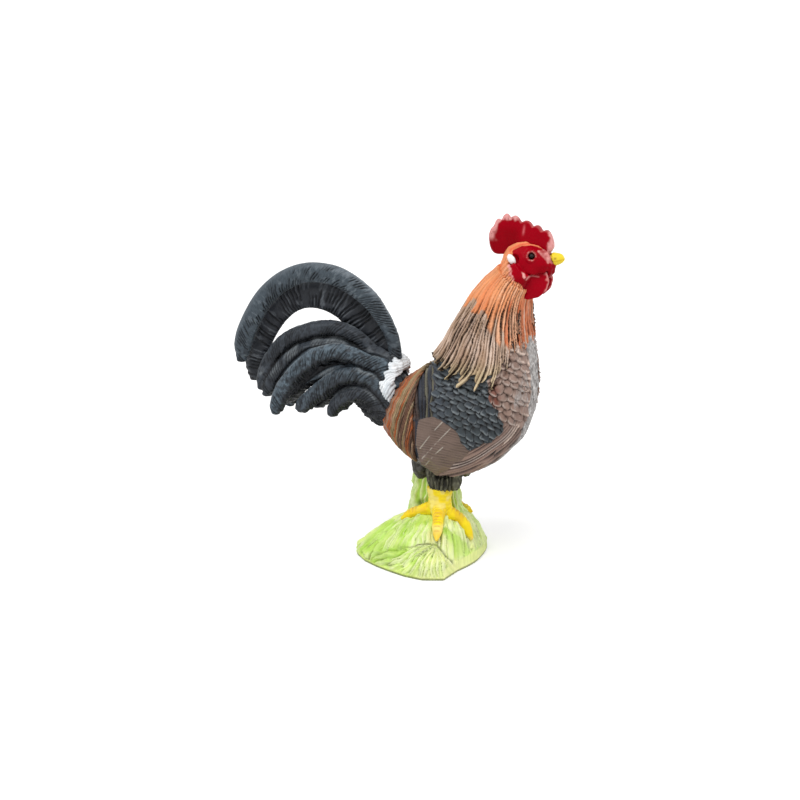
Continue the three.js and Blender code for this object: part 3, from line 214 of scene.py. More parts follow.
# A mesh to carve
class Carving:
    """One closed, evenly fine mesh over CAD solids, with its points and normals in mm as arrays. grain is the
    size of its faces in mm, and rounding is how often it is smoothed."""

    def __init__(self, name, nodes, grain, rounding):
        shape = bmesh.new()
        for node in nodes:
            shape.from_mesh(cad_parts[node].data)
        bmesh.ops.remove_doubles(shape, verts=shape.verts, dist=0.001 * MM)
        data = bpy.data.meshes.new(name)
        shape.to_mesh(data)
        shape.free()
        rough = bpy.data.objects.new(name, data)
        bpy.context.scene.collection.objects.link(rough)
        remesh = rough.modifiers.new("even_faces", "REMESH")
        remesh.mode = "VOXEL"
        remesh.voxel_size = grain * MM
        remesh.use_smooth_shade = True
        soften = rough.modifiers.new("soften", "SMOOTH")
        soften.factor = 0.5
        soften.iterations = rounding
        bpy.context.view_layer.update()
        even = rough.evaluated_get(bpy.context.evaluated_depsgraph_get())
        self.mesh = bpy.data.meshes.new_from_object(even)
        self.mesh.name = name
        bpy.data.objects.remove(rough)
        bpy.data.meshes.remove(data)
        self.object = bpy.data.objects.new(name, self.mesh)
        bpy.context.scene.collection.objects.link(self.object)
        self.nodes = nodes
        self.read()

    def read(self):
        """Takes the points and normals from the mesh."""
        found = []
        for kind in ("co", "normal"):
            values = np.empty(len(self.mesh.vertices) * 3, np.float32)
            self.mesh.vertices.foreach_get(kind, values)
            found.append(values.reshape(-1, 3).astype(float))
        self.at, self.normal = found[0] / MM, found[1]

    def put(self, at):
        """Moves the points to these places, inside the CAD's box."""
        at = np.clip(at, CAD_LOW, CAD_HIGH)
        self.mesh.vertices.foreach_set("co", (at * MM).astype(np.float32).ravel())
        self.mesh.update()
        self.read()

    def raise_by(self, height):
        """Moves each point along its normal, by mm."""
        self.put(self.at + self.normal * np.reshape(height, (-1, 1)))

    def mark(self, name, values):
        """Keeps one value or vector at each point for the paint to read."""
        kind, field = ("FLOAT_VECTOR", "vector") if values.ndim == 2 else ("FLOAT", "value")
        made = self.mesh.attributes.get(name) or self.mesh.attributes.new(name, kind, "POINT")
        made.data.foreach_set(field, values.astype(np.float32).ravel())

    def finish(self, slot, name, base, coats, lie=None, **look):
        """Paints it: keeps the coats' masks, and the mm along and across its feathers that barbs need."""
        for mask, _, _, values in coats:
            self.mark(mask, values)
        if lie:
            self.mark("lie", np.stack([*lie, 0 * lie[0]], 1))
        self.mesh.materials.clear()
        self.mesh.materials.append(painted_plastic(name, base, coats, **look))
        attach(self.object, "root")
        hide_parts(*self.nodes)


# Feather and line patterns
def peak(distance, width):
    """1 where the distance is 0, and less the further off, over about this width."""
    return np.exp(-((distance / width) ** 2))


def limit(value):
    """The value, held between 0 and 1."""
    return np.clip(value, 0, 1)


def noise(seed, *cells):
    """A repeatable number from 0 to 1 for each whole-number cell."""
    mixed = np.full(np.broadcast(*cells).shape, seed * 12.9898)
    for cell, weight in zip(cells, (78.233, 37.719, 11.137)):
        mixed = mixed + cell * weight
    return np.modf(abs(np.sin(mixed) * 43758.5453))[0]


def ripple(seed, u, v):
    """Smooth noise from -1 to 1 that changes over about one unit."""
    i, j = np.floor(u), np.floor(v)
    a, b = u - i, v - j
    a, b = a * a * (3 - 2 * a), b * b * (3 - 2 * b)
    low = noise(seed, i, j) * (1 - a) + noise(seed, i + 1, j) * a
    high = noise(seed, i, j + 1) * (1 - a) + noise(seed, i + 1, j + 1) * a
    return 2 * (low * (1 - b) + high * b) - 1


def step(value, start, end):
    """0 before start, 1 after end, smooth between."""
    t = limit((value - start) / (end - start))
    return t * t * (3 - 2 * t)


def feathers(u, v, length, width, overlap, pointed, uneven, seed):
    """Overlapping feathers in rows. u and v are mm along and across their lie, and each is length x overlap
    long. pointed goes from 0, round ends, to 1, long points. Gives for each point: t along its feather, x
    across it, edge (mm in from its edge), under (mm out from the edge of the one above) and tint."""
    u, v = u / length, v / width
    layers = math.ceil(overlap + uneven) + 1
    size = u.shape
    t, x, edge, tint = np.zeros(size), np.zeros(size), np.zeros(size), np.zeros(size)
    under = np.full(size, 9.0)
    open_still = np.ones(size, bool)
    for k in range(layers, -1, -1):
        row = np.floor(u) - k
        side = v + 0.5 * np.mod(row, 2) + 0.3 * (noise(seed, row, 7 + 0 * row) - 0.5)
        cell = np.floor(side)
        across = side - cell - 0.5
        own = overlap * (1 + uneven * (noise(seed + 1, row, cell) - 0.5) * 2)
        along = (u - row) / own
        taper = limit((along - (1 - 0.35 - 0.6 * pointed)) / (0.35 + 0.6 * pointed))
        round_half = np.sqrt(limit(1 - taper**2))
        point_half = (1 - taper) ** 0.8
        half = 0.5 * (round_half * (1 - pointed) + point_half * pointed)
        inwards = np.minimum((half - abs(across)) * width, (1 - along) * own * length * 0.7)
        here = open_still & ((inwards > 0) | (k == 0))
        t[here], x[here] = along[here], across[here]
        edge[here] = np.maximum(inwards[here], 0)
        tint[here] = noise(seed + 2, row, cell)[here]
        passed = open_still & ~here
        under[passed] = np.minimum(under[passed], -inwards[passed])
        open_still &= ~here
    return {"t": t, "x": x, "edge": edge, "under": under, "tint": tint}


def relief(f, lift, soft, crown):
    """Height in mm of feathers that rise to their tips by lift, bulge across by crown, and fall off at their
    edges over the mm of soft."""
    rise = lift * limit(f["t"])
    fall = step(f["edge"], 0, soft)
    return rise * fall + crown * (1 - (2 * f["x"]) ** 2) * fall


def gap(f, width, beside=0.3):
    """1 in the dark cracks below a feather, 0 away from them. beside is how dark its own edge is."""
    return limit(np.exp(-f["under"] / width) + beside * np.exp(-f["edge"] / (0.4 * width)))


def rim(f, width):
    """1 on a feather's raised outer edge, towards its tip."""
    near = peak(f["edge"] - width * 0.8, 0.6 * width)
    return near * step(f["t"], 0.35, 0.8)


def strands(down, across, spacing, seed, opening, bend):
    """Long strands side by side, with slots between them that open and close. down is mm along them, across
    counts strands, spacing is mm per strand, opening is how open the slots are, from 0 to 1, and bend how
    many mm long. Gives for each point: x across its strand, slot (1 in a slot), mid (1 on the crest), cell
    and tint, its numbers."""
    edge = np.round(across)
    off = abs(across - edge) * spacing
    place = down / bend + 9 * noise(seed, edge)
    opened = limit(opening * (0.75 + 0.75 * ripple(seed + 1, place, edge * 3.7)))
    slot = opened**0.5 * peak(off, spacing * (0.1 + 0.27 * opened))
    cell = np.floor(across)
    x = across - cell - 0.5
    mid = np.exp(-((x * 3.4) ** 2))
    return {"x": x, "slot": slot, "mid": mid, "tint": noise(seed + 3, cell), "cell": cell}


def hang(x, z, down, back):
    """mm along and across feathers that hang down and back by these parts of their length."""
    return -(z * down + x * back), x * down - z * back


def smooth_line(spots, count=160):
    """Points close together on a smooth curve through these spots."""
    spots = np.asarray(spots, float)
    ends = np.vstack([2 * spots[0] - spots[1], spots, 2 * spots[-1] - spots[-2]])
    place = np.linspace(0, len(spots) - 1 - 1e-9, count)
    i = place.astype(int)
    t = (place - i)[:, None]
    a, b, c, d = (ends[i + k] for k in range(4))
    return b + 0.5 * t * (c - a + t * (2 * a - 5 * b + 4 * c - d + t * (3 * (b - c) + d - a)))


def beside(line, x, z):
    """For points (x, z): mm along a line of close points, mm to its left, and how far off it they are."""
    at = np.stack([x, z], 1)
    start, way = line[:-1], np.diff(line, axis=0)
    size = np.linalg.norm(way, axis=1)
    reached = np.concatenate([[0], np.cumsum(size)])
    best = np.full(len(at), 1e9)
    along, left = np.zeros(len(at)), np.zeros(len(at))
    for k in range(len(start)):
        off = at - start[k]
        t = limit(off @ way[k] / size[k] ** 2)
        gone = off - t[:, None] * way[k]
        far = np.hypot(gone[:, 0], gone[:, 1])
        better = far < best
        best[better] = far[better]
        along[better] = reached[k] + t[better] * size[k]
        left[better] = (way[k][0] * off[better, 1] - way[k][1] * off[better, 0]) / size[k]
    return along, left, best


def inside(outline, x, z):
    """mm inside an outline of (x, z) corners, below 0 outside it."""
    corners = np.asarray(outline, float)
    within = np.zeros(x.shape, bool)
    far = np.full(x.shape, 1e9)
    for (ax, az), (bx, bz) in zip(corners, np.roll(corners, -1, axis=0)):
        crosses = ((az > z) != (bz > z)) & (x < (bx - ax) * (z - az) / ((bz - az) or 1e-9) + ax)
        within ^= crosses
        t = limit(((x - ax) * (bx - ax) + (z - az) * (bz - az)) / ((bx - ax) ** 2 + (bz - az) ** 2))
        far = np.minimum(far, np.hypot(x - ax - t * (bx - ax), z - az - t * (bz - az)))
    return np.where(within, far, -far)


# Coordinates round the body: the CAD body's stations, tail end to neck, in side view, and half its width
BODY_BACK = [
    (-3.4, 34.2), (-1.6, 35.2), (0.4, 36.9), (3.1, 40.1), (5.8, 43.3), (7.7, 46.6), (9.5, 49.8),
    (11.4, 52.9), (13.6, 55.7), (15.8, 57.9), (18, 60),
]
BODY_FRONT = [
    (-7.2, 24.8), (-4.4, 22.9), (-0.6, 19.8), (5.2, 17), (12, 18.8), (18.9, 25), (21.6, 33),
    (21.2, 41.2), (20.1, 47.2), (20, 52), (21.2, 55.8),
]
BODY_HALF = [5, 7.6, 9.8, 11.2, 11.8, 11.4, 10.2, 8.2, 6.4, 5.1, 4.4]
# The chart's squares in mm, how many it has each way, and where it starts behind the origin
CHART_STEP = 0.1
CHART_SIZE = 1000
CHART_START = 40


def body_chart():
    """A chart of the side view: in each square, the share along the body and the share from back to belly."""
    count = 900
    back, front = smooth_line(BODY_BACK, count), smooth_line(BODY_FRONT, count)
    share = np.linspace(0, 1, count)
    chart = np.full((CHART_SIZE, CHART_SIZE, 2), np.nan)
    for across in np.linspace(-0.25, 1.25, 1200):
        spots = back * (1 - across) + front * across
        i = np.round((spots[:, 0] + CHART_START) / CHART_STEP).astype(int)
        j = np.round(spots[:, 1] / CHART_STEP).astype(int)
        chart[i, j, 0] = share
        chart[i, j, 1] = across
    return chart


CHART = body_chart()
# The plane where the head sits on the neck: a point on it and the way up the neck
NECK_POINT = np.array([18.5, 0, 55.9])
NECK_WAY = np.array([math.sin(math.radians(35)), 0, math.cos(math.radians(35))])
SECTION_FULLNESS = 0.88
# How the photograph sees wing, flank and head: how far to the side they lie, and its slopes forward and up
WING_VIEW = (11, 0.33, 0.27)
FLANK_VIEW = (11, 0.3, 0.26)
HEAD_VIEW = (3.8, 0.289, 0.179)


def slanted(at, side, forward, up):
    """x and z of points in mm as the photograph's slanted side view shows them: moved forward and up by these
    slopes to the plane that is this far to the side. Both sides of the bird are painted alike."""
    inwards = side - abs(at[:, 1])
    return at[:, 0] + forward * inwards, at[:, 2] + up * inwards


def round_body(at):
    """For points in mm: share of the body from tail to neck, angle from the back line, and half its width."""
    i = np.clip(np.round((at[:, 0] + CHART_START) / CHART_STEP).astype(int), 0, CHART_SIZE - 1)
    j = np.clip(np.round(at[:, 2] / CHART_STEP).astype(int), 0, CHART_SIZE - 1)
    share, across = CHART[i, j].T
    # Points off the chart are at the neck or at the tail
    lost = np.isnan(share)
    share[lost] = 1.0 * (at[lost, 2] > 50)
    across[lost] = 0.5
    half = np.interp(share, np.linspace(0, 1, len(BODY_HALF)), BODY_HALF)
    c = 1 - 2 * across
    up = np.sign(c) * abs(c) ** (1 / SECTION_FULLNESS)
    out = (abs(at[:, 1]) / half) ** (1 / SECTION_FULLNESS)
    return share, np.arctan2(out, up), half


# Sizes of what is carved, in mm: a feather's length and width, or the width of a strand
SHOULDER_SCALE = (1.35, 1.8)
COVERT = (1.05, 1.85)
BREAST_FEATHER = (1.3, 1.3)
PRIMARY = 0.5
REAR_STRIPE = 0.6
SADDLE_STRIPE = 0.43
THIGH_STRAND = 0.9
TUFT_STRAND = 0.32
SPECK = 0.35
GRASS_BLADE = (4.2, 1.25)
GRASS_LINE = 0.55
GRASS_STEM = 1.1
# Which way shoulder and saddle feathers, and the coverts, hang: down and back
SHOULDER_HANG = (0.97, 0.24)
COVERT_HANG = (0.92, 0.39)

# Hackle: long pointed feathers over the neck, orange above, buff below
HACKLE_STRANDS_ROUND = 104
BREAST_FEATHERS_ROUND = 46
# mm of strand and of breast feathers from the neck to the tail end
HACKLE_RUN = 33
BREAST_RUN = 48
HACKLE_BASE = "#b5957a"
ORANGE_EDGE = [
    (6, 51), (10.6, 52.3), (12.5, 51.7), (14.5, 51.2), (15.8, 50), (17.2, 47.5), (18.6, 45.5),
    (20, 43.5), (30, 40), (30, 64), (10, 64), (5, 56),
]
# Coats of the neck strands: rim and lit_orange are painted highlights on the crests, glow is a painted
# highlight of paler orange over the loose throat strands, and line is dark wash with painted shade in the
# fine grooves
HACKLE_COATS = [
    ("shade", "#94715f", 0.7),
    ("rim", "#fae0cf", 0.85),
    ("cream", "#d9c998", 0.7),
    ("orange", "#ec965f", 1.4),
    ("glow", "#fcb488", 0.8),
    ("deep_orange", "#db6228", 0.85),
    ("lit_orange", "#fecba6", 0.85),
    ("line", "#6d4a35", 0.6),
]


def hackle_pattern(at):
    """Relief in mm, paint masks and lie of the neck strands: orange above, buff below, dark slots between."""
    share, angle, half = round_body(at)
    x, _, z = at.T
    down = (1 - share) * HACKLE_RUN
    spacing = 2 * math.pi * half * 1.05 / HACKLE_STRANDS_ROUND
    sway = 0.42 * ripple(3, down / 5, angle * 3.5) + 0.22 * np.sin(down * 0.7 + angle * 5)
    sway = sway * step(down, 4, 10) + 0.1 * ripple(5, down / 1.6, angle * 12)
    across = angle * HACKLE_STRANDS_ROUND / (2 * math.pi) + sway / spacing
    pair = np.floor(across / 2)
    orange = step(inside(ORANGE_EDGE, x, z) + 2.4 * (noise(7, pair) - 0.5), -0.3, 0.4)
    front = step(x, 15, 18.5)
    smoothness = step(z, 50, 54) * (1 - 0.4 * front)
    broad = step(8.6 - half, -0.3, 1.2)
    # Over the throat the strands hang loose: wide dark gaps, and rust, orange and buff by turns
    loose = front * (1 - step(z, 49.5, 52.5))
    orange = orange * (1 - 0.9 * loose * step(noise(27, pair), 0.7, 0.76))
    upper = strands(down, across / 2, spacing * 2, 11, 0.8 - 0.5 * smoothness + 0.1 * loose, 4.5)
    opening = np.clip(0.7 + 0.6 * ripple(9, down / 3, across / 3.5), 0.1, 1) * (1 - 0.75 * smoothness)
    lower = strands(down, across, spacing, 12, opening, 3.6)
    slot, mid, tint = (upper[name] * broad + lower[name] * (1 - broad) for name in ("slot", "mid", "tint"))
    crown = broad * (1 - (2 * upper["x"]) ** 4) + (1 - broad) * (1 - (2 * lower["x"]) ** 4)
    split = across * 1.5 + 0.3 * ripple(8, down / 2, angle * 9)
    fine = strands(down, split, spacing / 1.5, 17, 0.7 * (1 - smoothness), 3)
    height = 0.13 * crown + 0.3 * (tint - 0.5) - 0.7 * slot - 0.06 * fine["slot"] * broad
    # Painted highlights along the strands' crests, brightest over the loose throat strands
    lit = limit(0.8 * mid + 0.5 * fine["mid"] * broad)
    lit = lit * (0.25 + 0.75 * step(ripple(21, down / 2.2, across), -0.3, 0.5))
    lit = limit(lit * (1 + 1.3 * loose))
    deep = front * (1 - step(z, 51, 54)) * step(tint, 0.5, 0.7)
    line = fine["slot"] * (1 - smoothness) * (1 - 0.5 * orange)
    masks = {
        "orange": orange,
        "deep_orange": limit(orange * deep + 0.4 * orange * step(tint, 0.5, 0.75)),
        # A painted highlight of paler orange over the loose throat strands
        "glow": orange * loose * (1 - deep),
        "lit_orange": orange * lit * (0.35 + 0.65 * front) * (1 - 0.7 * deep),
        "cream": step(42.5 - z, -0.5, 3.5) * (0.35 + 0.65 * mid),
        "groove": limit((slot * 2.1 - 0.35) * (1 - 0.5 * smoothness * orange)),
        "line": line * (0.4 + 0.6 * broad) * (1 - 0.6 * loose),
        "rim": lit * (1 - orange),
        "shade": step(tint, 0.5, 0.9) * (1 - 0.8 * loose),
    }
    return (1 - 0.8 * smoothness) * height, masks, (down, across * spacing)


def hackle_piece():
    piece = Carving("hackle_feathers", ["neck_hackle"], 0.16, 4)
    height, masks, lie = hackle_pattern(piece.at)
    # The top edge leans in against the head
    above = (piece.at - NECK_POINT) @ NECK_WAY
    piece.raise_by(height - 0.02)
    piece.put(piece.at + NECK_WAY * (0.5 * step(above, -1.2, -0.2))[:, None])
    # Soft PVC with satin acrylic: orange sprayed down from the head, dark wash and painted shade in the
    # slots, buff on the ridges with painted highlights on the strands' crests
    coats = masked(HACKLE_COATS + [("groove", "#1c1412", 1)], masks)
    barbs = (0.2, "#5d4030", 0.12)
    piece.finish("hackle_feathers", "hackle_satin_paint_on_pvc", HACKLE_BASE, coats, lie, barbs=barbs)


# Saddle: thin stripes that hang from the back
def saddle_piece():
    piece = Carving("saddle_feathers", ["saddle_hackle"], 0.17, 4)
    x, y, z = piece.at.T
    along, across = hang(x, z, *SHOULDER_HANG)
    across = across + 0.2 * abs(y) + 0.25 * ripple(5, along / 4, x / 3)
    f = strands(along, across / SADDLE_STRIPE, SADDLE_STRIPE, 21, 0.8, 4)
    tint = f["tint"]
    crown = np.sqrt(limit(1 - (1.85 * f["x"]) ** 2))
    # Its front and rear rims are smooth
    sides = 1 - step(abs(piece.normal[:, 0]), 0.55, 0.8)
    piece.raise_by(sides * (0.14 * crown + 0.14 * (tint - 0.5) - 0.45 * f["slot"]) + 0.12)
    x = piece.at[:, 0]
    # The same paint, striped by hand in rust, olive and blue-black
    coats = [
        ("rust", "#c2652f", 0.9, step(tint, 0.45, 0.55) * (1 - step(x, 1, 3))),
        ("olive", "#97906a", 0.85, step(tint, 0.72, 0.8) * (1 - step(x, 1.5, 3.5))),
        ("blue", "#333c4b", 0.95, step(x + 2.4 * (tint - 0.5), 1.3, 2.5)),
        ("pale", "#d2b494", 0.5, f["mid"] * step(ripple(22, along / 3, f["cell"]), 0, 0.5)),
        # Dark wash and painted shade in the slots between the stripes
        ("groove", "#1b1411", 0.95, limit(f["slot"] * 1.6 - 0.25) * (0.4 + 0.6 * sides)),
    ]
    lie = (along, across)
    barbs = (0.16, "#33241c", 0.25)
    piece.finish("saddle_feathers", "saddle_satin_paint_on_pvc", "#735240", coats, lie, barbs=barbs)


# Wings: rounded shoulder scales, dark coverts, plain secondaries with pale shafts, long primaries
COVERTS = [
    (4.2, 50), (4.2, 34), (4.4, 31.2), (6, 30.7), (7.6, 30), (9.2, 28.9), (10.4, 28.1),
    (11, 26.6), (12.3, 25.2), (14, 25.6), (17, 27), (19.6, 29.5), (18.6, 30.8), (17.9, 33),
    (16.8, 34.6), (16, 37), (16.4, 39), (16.4, 50),
]
SECONDARIES = [
    (2.4, 29.8), (4.2, 30.6), (6, 30.7), (7.6, 30), (9.2, 28.9), (10.4, 28.1), (11, 26.6),
    (12.3, 25.2), (12.4, 24.2), (9.4, 21.6), (6.6, 19.2), (1, 17), (-3, 22), (-3, 29),
]
WING_FRONT = [
    (26, 41), (25.4, 34.5), (22.4, 29), (17.6, 24.2), (12.2, 20.8), (6.4, 19), (1, 18.5),
]
SHAFTS = [
    [(7.3, 29.9), (5.3, 27.6), (2.9, 24.4)],
    [(8.9, 28.8), (6.4, 26), (3.3, 22.4)],
    [(7.4, 25), (5.6, 23.2), (4, 21.2)],
]
WING_BASE = "#9c8276"
# covert_rim and rim are pale dry-brush on the feathers' raised edges that is also painted highlight, and
# crack is painted shadow under the shoulder scales
WING_COATS = [
    ("tint", "#84695d", 0.6),
    ("rust", "#74392a", 0.85),
    ("covert", "#3b4347", 1.5),
    ("covert_tint", "#2b3135", 0.6),
    ("covert_blue", "#4a5362", 0.5),
    ("covert_rim", "#8f979b", 0.8),
    ("plain", "#78655b", 1.5),
    ("strip", "#2d333f", 1.4),
    ("strip_brown", "#5d473d", 0.85),
    ("strip_olive", "#7d785f", 0.7),
    ("barb", "#56473f", 0.7),
    ("crack", "#3c2c23", 0.95),
    ("rim", "#d6c6bc", 0.7),
    ("quill", "#d9d2c6", 0.75),
]


def flank_pattern(x, z):
    """Relief in mm, paint masks and lie of the folded wing: shoulder scales, dark coverts, plain secondaries
    with pale shafts, long primaries along the lower front, and blue-black stripes along the rear."""
    wobble = 0.5 * ripple(31, x / 1.4, z / 1.1)
    covert = step(inside(COVERTS, x, z) + wobble, -0.12, 0.12)
    plain = step(inside(SECONDARIES, x, z) + 0.4 * wobble, -0.1, 0.1) * (1 - covert)
    strip = step(5.3 - x + ripple(37, z / 1.1, 0 * z), -0.35, 0.35) * (1 - plain) * step(z, 29.5, 30.5)
    covert = covert * (1 - strip)
    along_front, from_front, _ = beside(smooth_line(WING_FRONT), x, z)
    from_front = abs(from_front)
    long = step(5.6 - from_front + wobble, -0.3, 0.3) * (1 - covert) * (1 - plain) * (1 - strip)
    long = long * step(31 - z, 0, 1.5)
    rest = limit(1 - covert - plain - long - strip)
    scaly = rest * step(x, 12, 12.5)
    covert = covert + rest - scaly

    # Shoulder scales hang down and a little back; coverts lie in wide shingled rows that drop forward
    down, over = hang(x, z, *SHOULDER_HANG)
    swayed = down + 0.2 * ripple(32, over / 1.3, down), over + 0.15 * ripple(35, over, down)
    shoulder = feathers(*swayed, *SHOULDER_SCALE, overlap=1.5, pointed=0, uneven=0.15, seed=41)
    drop, row = hang(x, z, *COVERT_HANG)
    swayed = drop + 0.22 * ripple(33, row / 1.2, drop), row + 0.3 * ripple(39, row, drop)
    dark = feathers(*swayed, *COVERT, overlap=1.4, pointed=-0.2, uneven=0.25, seed=43)
    swayed = from_front + 0.3 * ripple(6, along_front / 5, from_front)
    quills = strands(along_front, swayed / PRIMARY, PRIMARY, 47, 0.75, 6)
    swayed = x + 0.3 * ripple(36, z / 3, x)
    stripes = strands(-z, swayed / REAR_STRIPE, REAR_STRIPE, 49, 0.9, 6)
    shaft = np.min([beside(smooth_line(line, 60), x, z)[2] for line in SHAFTS], axis=0)
    quill = peak(shaft + 0.05 * wobble, 0.075) * plain * step(ripple(44, x / 0.8, z / 0.8), -0.7, 0)
    barbs = np.sin((z + 0.12 * x) * 2 * math.pi / 0.5 + 1.6 * ripple(8, x / 2, z))
    barbs *= 0.5 + 0.5 * ripple(9, x / 1.5, z / 0.6)
    slots = long * quills["slot"] + strip * stripes["slot"]
    height = (
        scaly * relief(shoulder, 0.5, 0.14, 0.02)
        + covert * relief(dark, 0.55, 0.1, 0)
        + long * (0.14 * quills["mid"] + 0.1)
        + strip * 0.15 * stripes["mid"]
        + plain * (0.08 * barbs + 0.12 * quill + 0.1)
        - 0.3 * (scaly * gap(shoulder, 0.16, 0) + covert * gap(dark, 0.24, 0.1))
        - 0.35 * slots
        + 0.05 * ripple(45, x / 0.3, z / 0.3) * (covert + scaly)
    )
    # Painted highlights on the rims of scales and quills, and painted shade in the cracks under scales and
    # coverts
    scale_rims = scaly * rim(shoulder, 0.22) * step(ripple(48, x, z), -0.8, 0.2)
    cracks = covert * gap(dark, 0.26, 0.1) * 1.8 - 0.12 + scaly * limit(gap(shoulder, 0.1, 0) * 1.5 - 0.6)
    masks = {
        "covert": covert,
        "covert_tint": covert * step(dark["tint"], 0.4, 0.9),
        "covert_blue": covert * limit(0.3 * dark["tint"] + step(10 - x, 0, 5) * 0.6),
        "covert_rim": covert * rim(dark, 0.2) * (0.3 + 0.7 * step(ripple(46, x, z / 0.8), -0.3, 0.4)),
        "plain": plain,
        "strip": strip,
        "strip_brown": strip * step(noise(50, stripes["cell"]), 0.45, 0.5),
        "strip_olive": strip * step(noise(52, stripes["cell"]), 0.7, 0.75),
        "rust": scaly * step(1.6 - np.hypot((x - 17.2) * 1.2, (z - 35.4) * 0.55), -0.4, 0.8),
        "tint": scaly * shoulder["tint"] + long * quills["tint"] + plain * 0.4,
        "crack": scaly * limit(1.6 * gap(shoulder, 0.26, 0.1) - 0.1),
        "rim": limit(scale_rims + long * quills["mid"] * step(quills["tint"], 0.3, 0.6)),
        "quill": quill,
        "groove": limit(cracks + slots * 1.5),
        "barb": plain * step(-barbs, -0.1, 0.8) * (1 - quill),
    }
    return height, masks, (down, over)


DOWN_BASE = "#a09a97"
DOWN_PALE = "#e4e2e0"


def stipple(at):
    """Where the breast is dabbed pale, and where it is left black, in specks."""
    u, v = at[:, 0] / SPECK + at[:, 1] / SPECK, at[:, 2] / SPECK
    return step(ripple(53, u, v), 0.1, 0.5), step(ripple(54, u, v), 0.35, 0.6)


def wing_piece(side):
    piece = Carving("wing_feathers_" + side, ["wing_" + side], 0.14, 8)
    height, masks, lie = flank_pattern(*slanted(piece.at, *WING_VIEW))
    # The rim that faces forward is speckled like the breast
    facing = 0.94 if side == "right" else 0.8
    front_rim = step(piece.normal[:, 0], facing, facing + 0.05) * step(piece.at[:, 2], 27, 30)
    piece.raise_by(height * (1 - 0.7 * front_rim) - 0.1)
    speck, black = stipple(piece.at)
    # Satin acrylic on PVC: warm grey-brown, slate coverts, pale dry-brush on the rims and shafts with painted
    # highlights on the rims, and dark wash with painted shade in the cracks
    coats = masked(WING_COATS, masks) + [
        ("front_rim", DOWN_BASE, 1.5, front_rim),
        ("down_pale", DOWN_PALE, 0.75, speck * front_rim),
        ("groove", "#151213", 1, masks["groove"] * (1 - front_rim) + 0.6 * black * front_rim),
    ]
    barbs = (0.2, "#54483f", 0.12)
    piece.finish("wing_feathers", "wing_satin_paint_on_pvc", WING_BASE, coats, lie, barbs=barbs, grain=0.05)


# Breast, belly and the feathers behind the legs
def body_piece():
    piece = Carving("breast_feathers", ["torso"], 0.215, 6)
    at = piece.at
    x, y, z = at.T
    share, angle, _ = round_body(at)
    down = (1 - share) * BREAST_RUN
    across = angle * BREAST_FEATHERS_ROUND / (2 * math.pi) + 0.3 * ripple(9, down / 2, angle * 6)
    f = feathers(down, across * 1.2, *BREAST_FEATHER, overlap=1.7, pointed=0.5, uneven=0.4, seed=51)
    deep = gap(f, 0.18)
    strand_height, strand_masks, _ = hackle_pattern(at)
    seen_x, seen_z = slanted(at, *FLANK_VIEW)
    flank_height, flank_masks, _ = flank_pattern(seen_x, seen_z)
    # Behind the wing the flank is in its shadow, dark and striped
    behind = step(2.6 - seen_x, -0.3, 0.3)
    stripe = np.floor(seen_x / 0.5)
    under_saddle = step(1.7 - seen_x + 1.2 * (noise(55, stripe) - 0.5), -0.2, 0.2)
    for name in ("plain", "barb", "rim"):
        flank_masks[name] *= 1 - behind
    flank_masks["strip"] = np.maximum(flank_masks["strip"], behind) * (1 - under_saddle)
    # The neck's strands end raggedly over the breast, and the flank starts at the side of breast and belly
    tangle = noise(7, np.floor(angle * HACKLE_STRANDS_ROUND / (2 * math.pi)))
    throat = step(z + 3 * (tangle - 0.5) - 44.4, -0.3, 0.4)
    aside = abs(y - 1.8) - 4 - 0.5 * ripple(57, z / 1.2, x / 1.2)
    aside = np.where(angle < 1.5, 9, aside)
    above = step(seen_z - 19.4 - 0.8 * ripple(58, x, z), -0.2, 0.4)
    above *= step(z - 21.5 + 3.5 * step(x, 1.5, 4.5), -0.2, 0.6)
    flank = step(x + 1.6, -0.2, 0.2) * step(aside, -0.15, 0.15) * (1 - throat) * above
    breast = (1 - throat) * (1 - flank)
    # The breast swells up to the wings' front edges, and closes round the rims of what lies on it
    swell = 0.25 + 0.35 * peak(beside(smooth_line(WING_FRONT), x, z)[2], 2.5) * step(x, 8, 14)
    below_neck = step(-(at - NECK_POINT) @ NECK_WAY, 0.2, 1.2)
    piece.raise_by(
        swell * below_neck
        + breast * (0.6 * relief(f, 0.3, 0.2, 0.06) - 0.15 * deep)
        + throat * strand_height * 0.9
        + flank * (flank_height - 0.15)
    )
    speck, black = stipple(at)
    belly = step(22.5 - z, 0, 2.5) * (1 - step(x, 6, 14))
    dark = breast * np.maximum(belly, 0.8 * step(-0.8 - x, -0.3, 0.8))
    masks = {
        name: throat * strand_masks.get(name, 0) + flank * flank_masks.get(name, 0)
        for name in strand_masks | flank_masks
    }
    # Painted shade in the cracks between the breast feathers, together with the black specks
    masks["groove"] += breast * limit(deep * 0.9 - 0.25 + 0.65 * black)
    # Stippled grey over black on the breast, so it reads as speckled down, with painted shade in the cracks
    # between its feathers. The throat and flanks are painted like the neck and the wings beside them, with
    # their painted highlights and painted shade
    coats = [
        ("down_tint", "#7b7573", 0.6, breast * f["tint"]),
        ("down_pale", DOWN_PALE, 0.75, breast * (1 - 0.7 * dark) * limit(rim(f, 0.3) * 0.6 + speck)),
        ("flank", WING_BASE, 1.5, flank),
        ("strand", HACKLE_BASE, 1.5, throat),
        ("brown_stripe", "#5c3d2b", 1.5, flank * under_saddle),
        ("rust_stripe", "#a85a30", 0.8, flank * (under_saddle * step(noise(56, stripe), 0.3, 0.5))),
        *masked(WING_COATS[:-1] + HACKLE_COATS, masks),
        ("dark", "#37362c", 0.95, dark),
        ("groove", "#1a1615", 0.95, masks["groove"]),
    ]
    look = dict(roughness=0.5, barbs=(0.2, "#4b4747", 0.25), grain=0.06)
    piece.finish("body_feathers", "breast_stippled_paint_on_pvc", DOWN_BASE, coats, (down, across), **look)


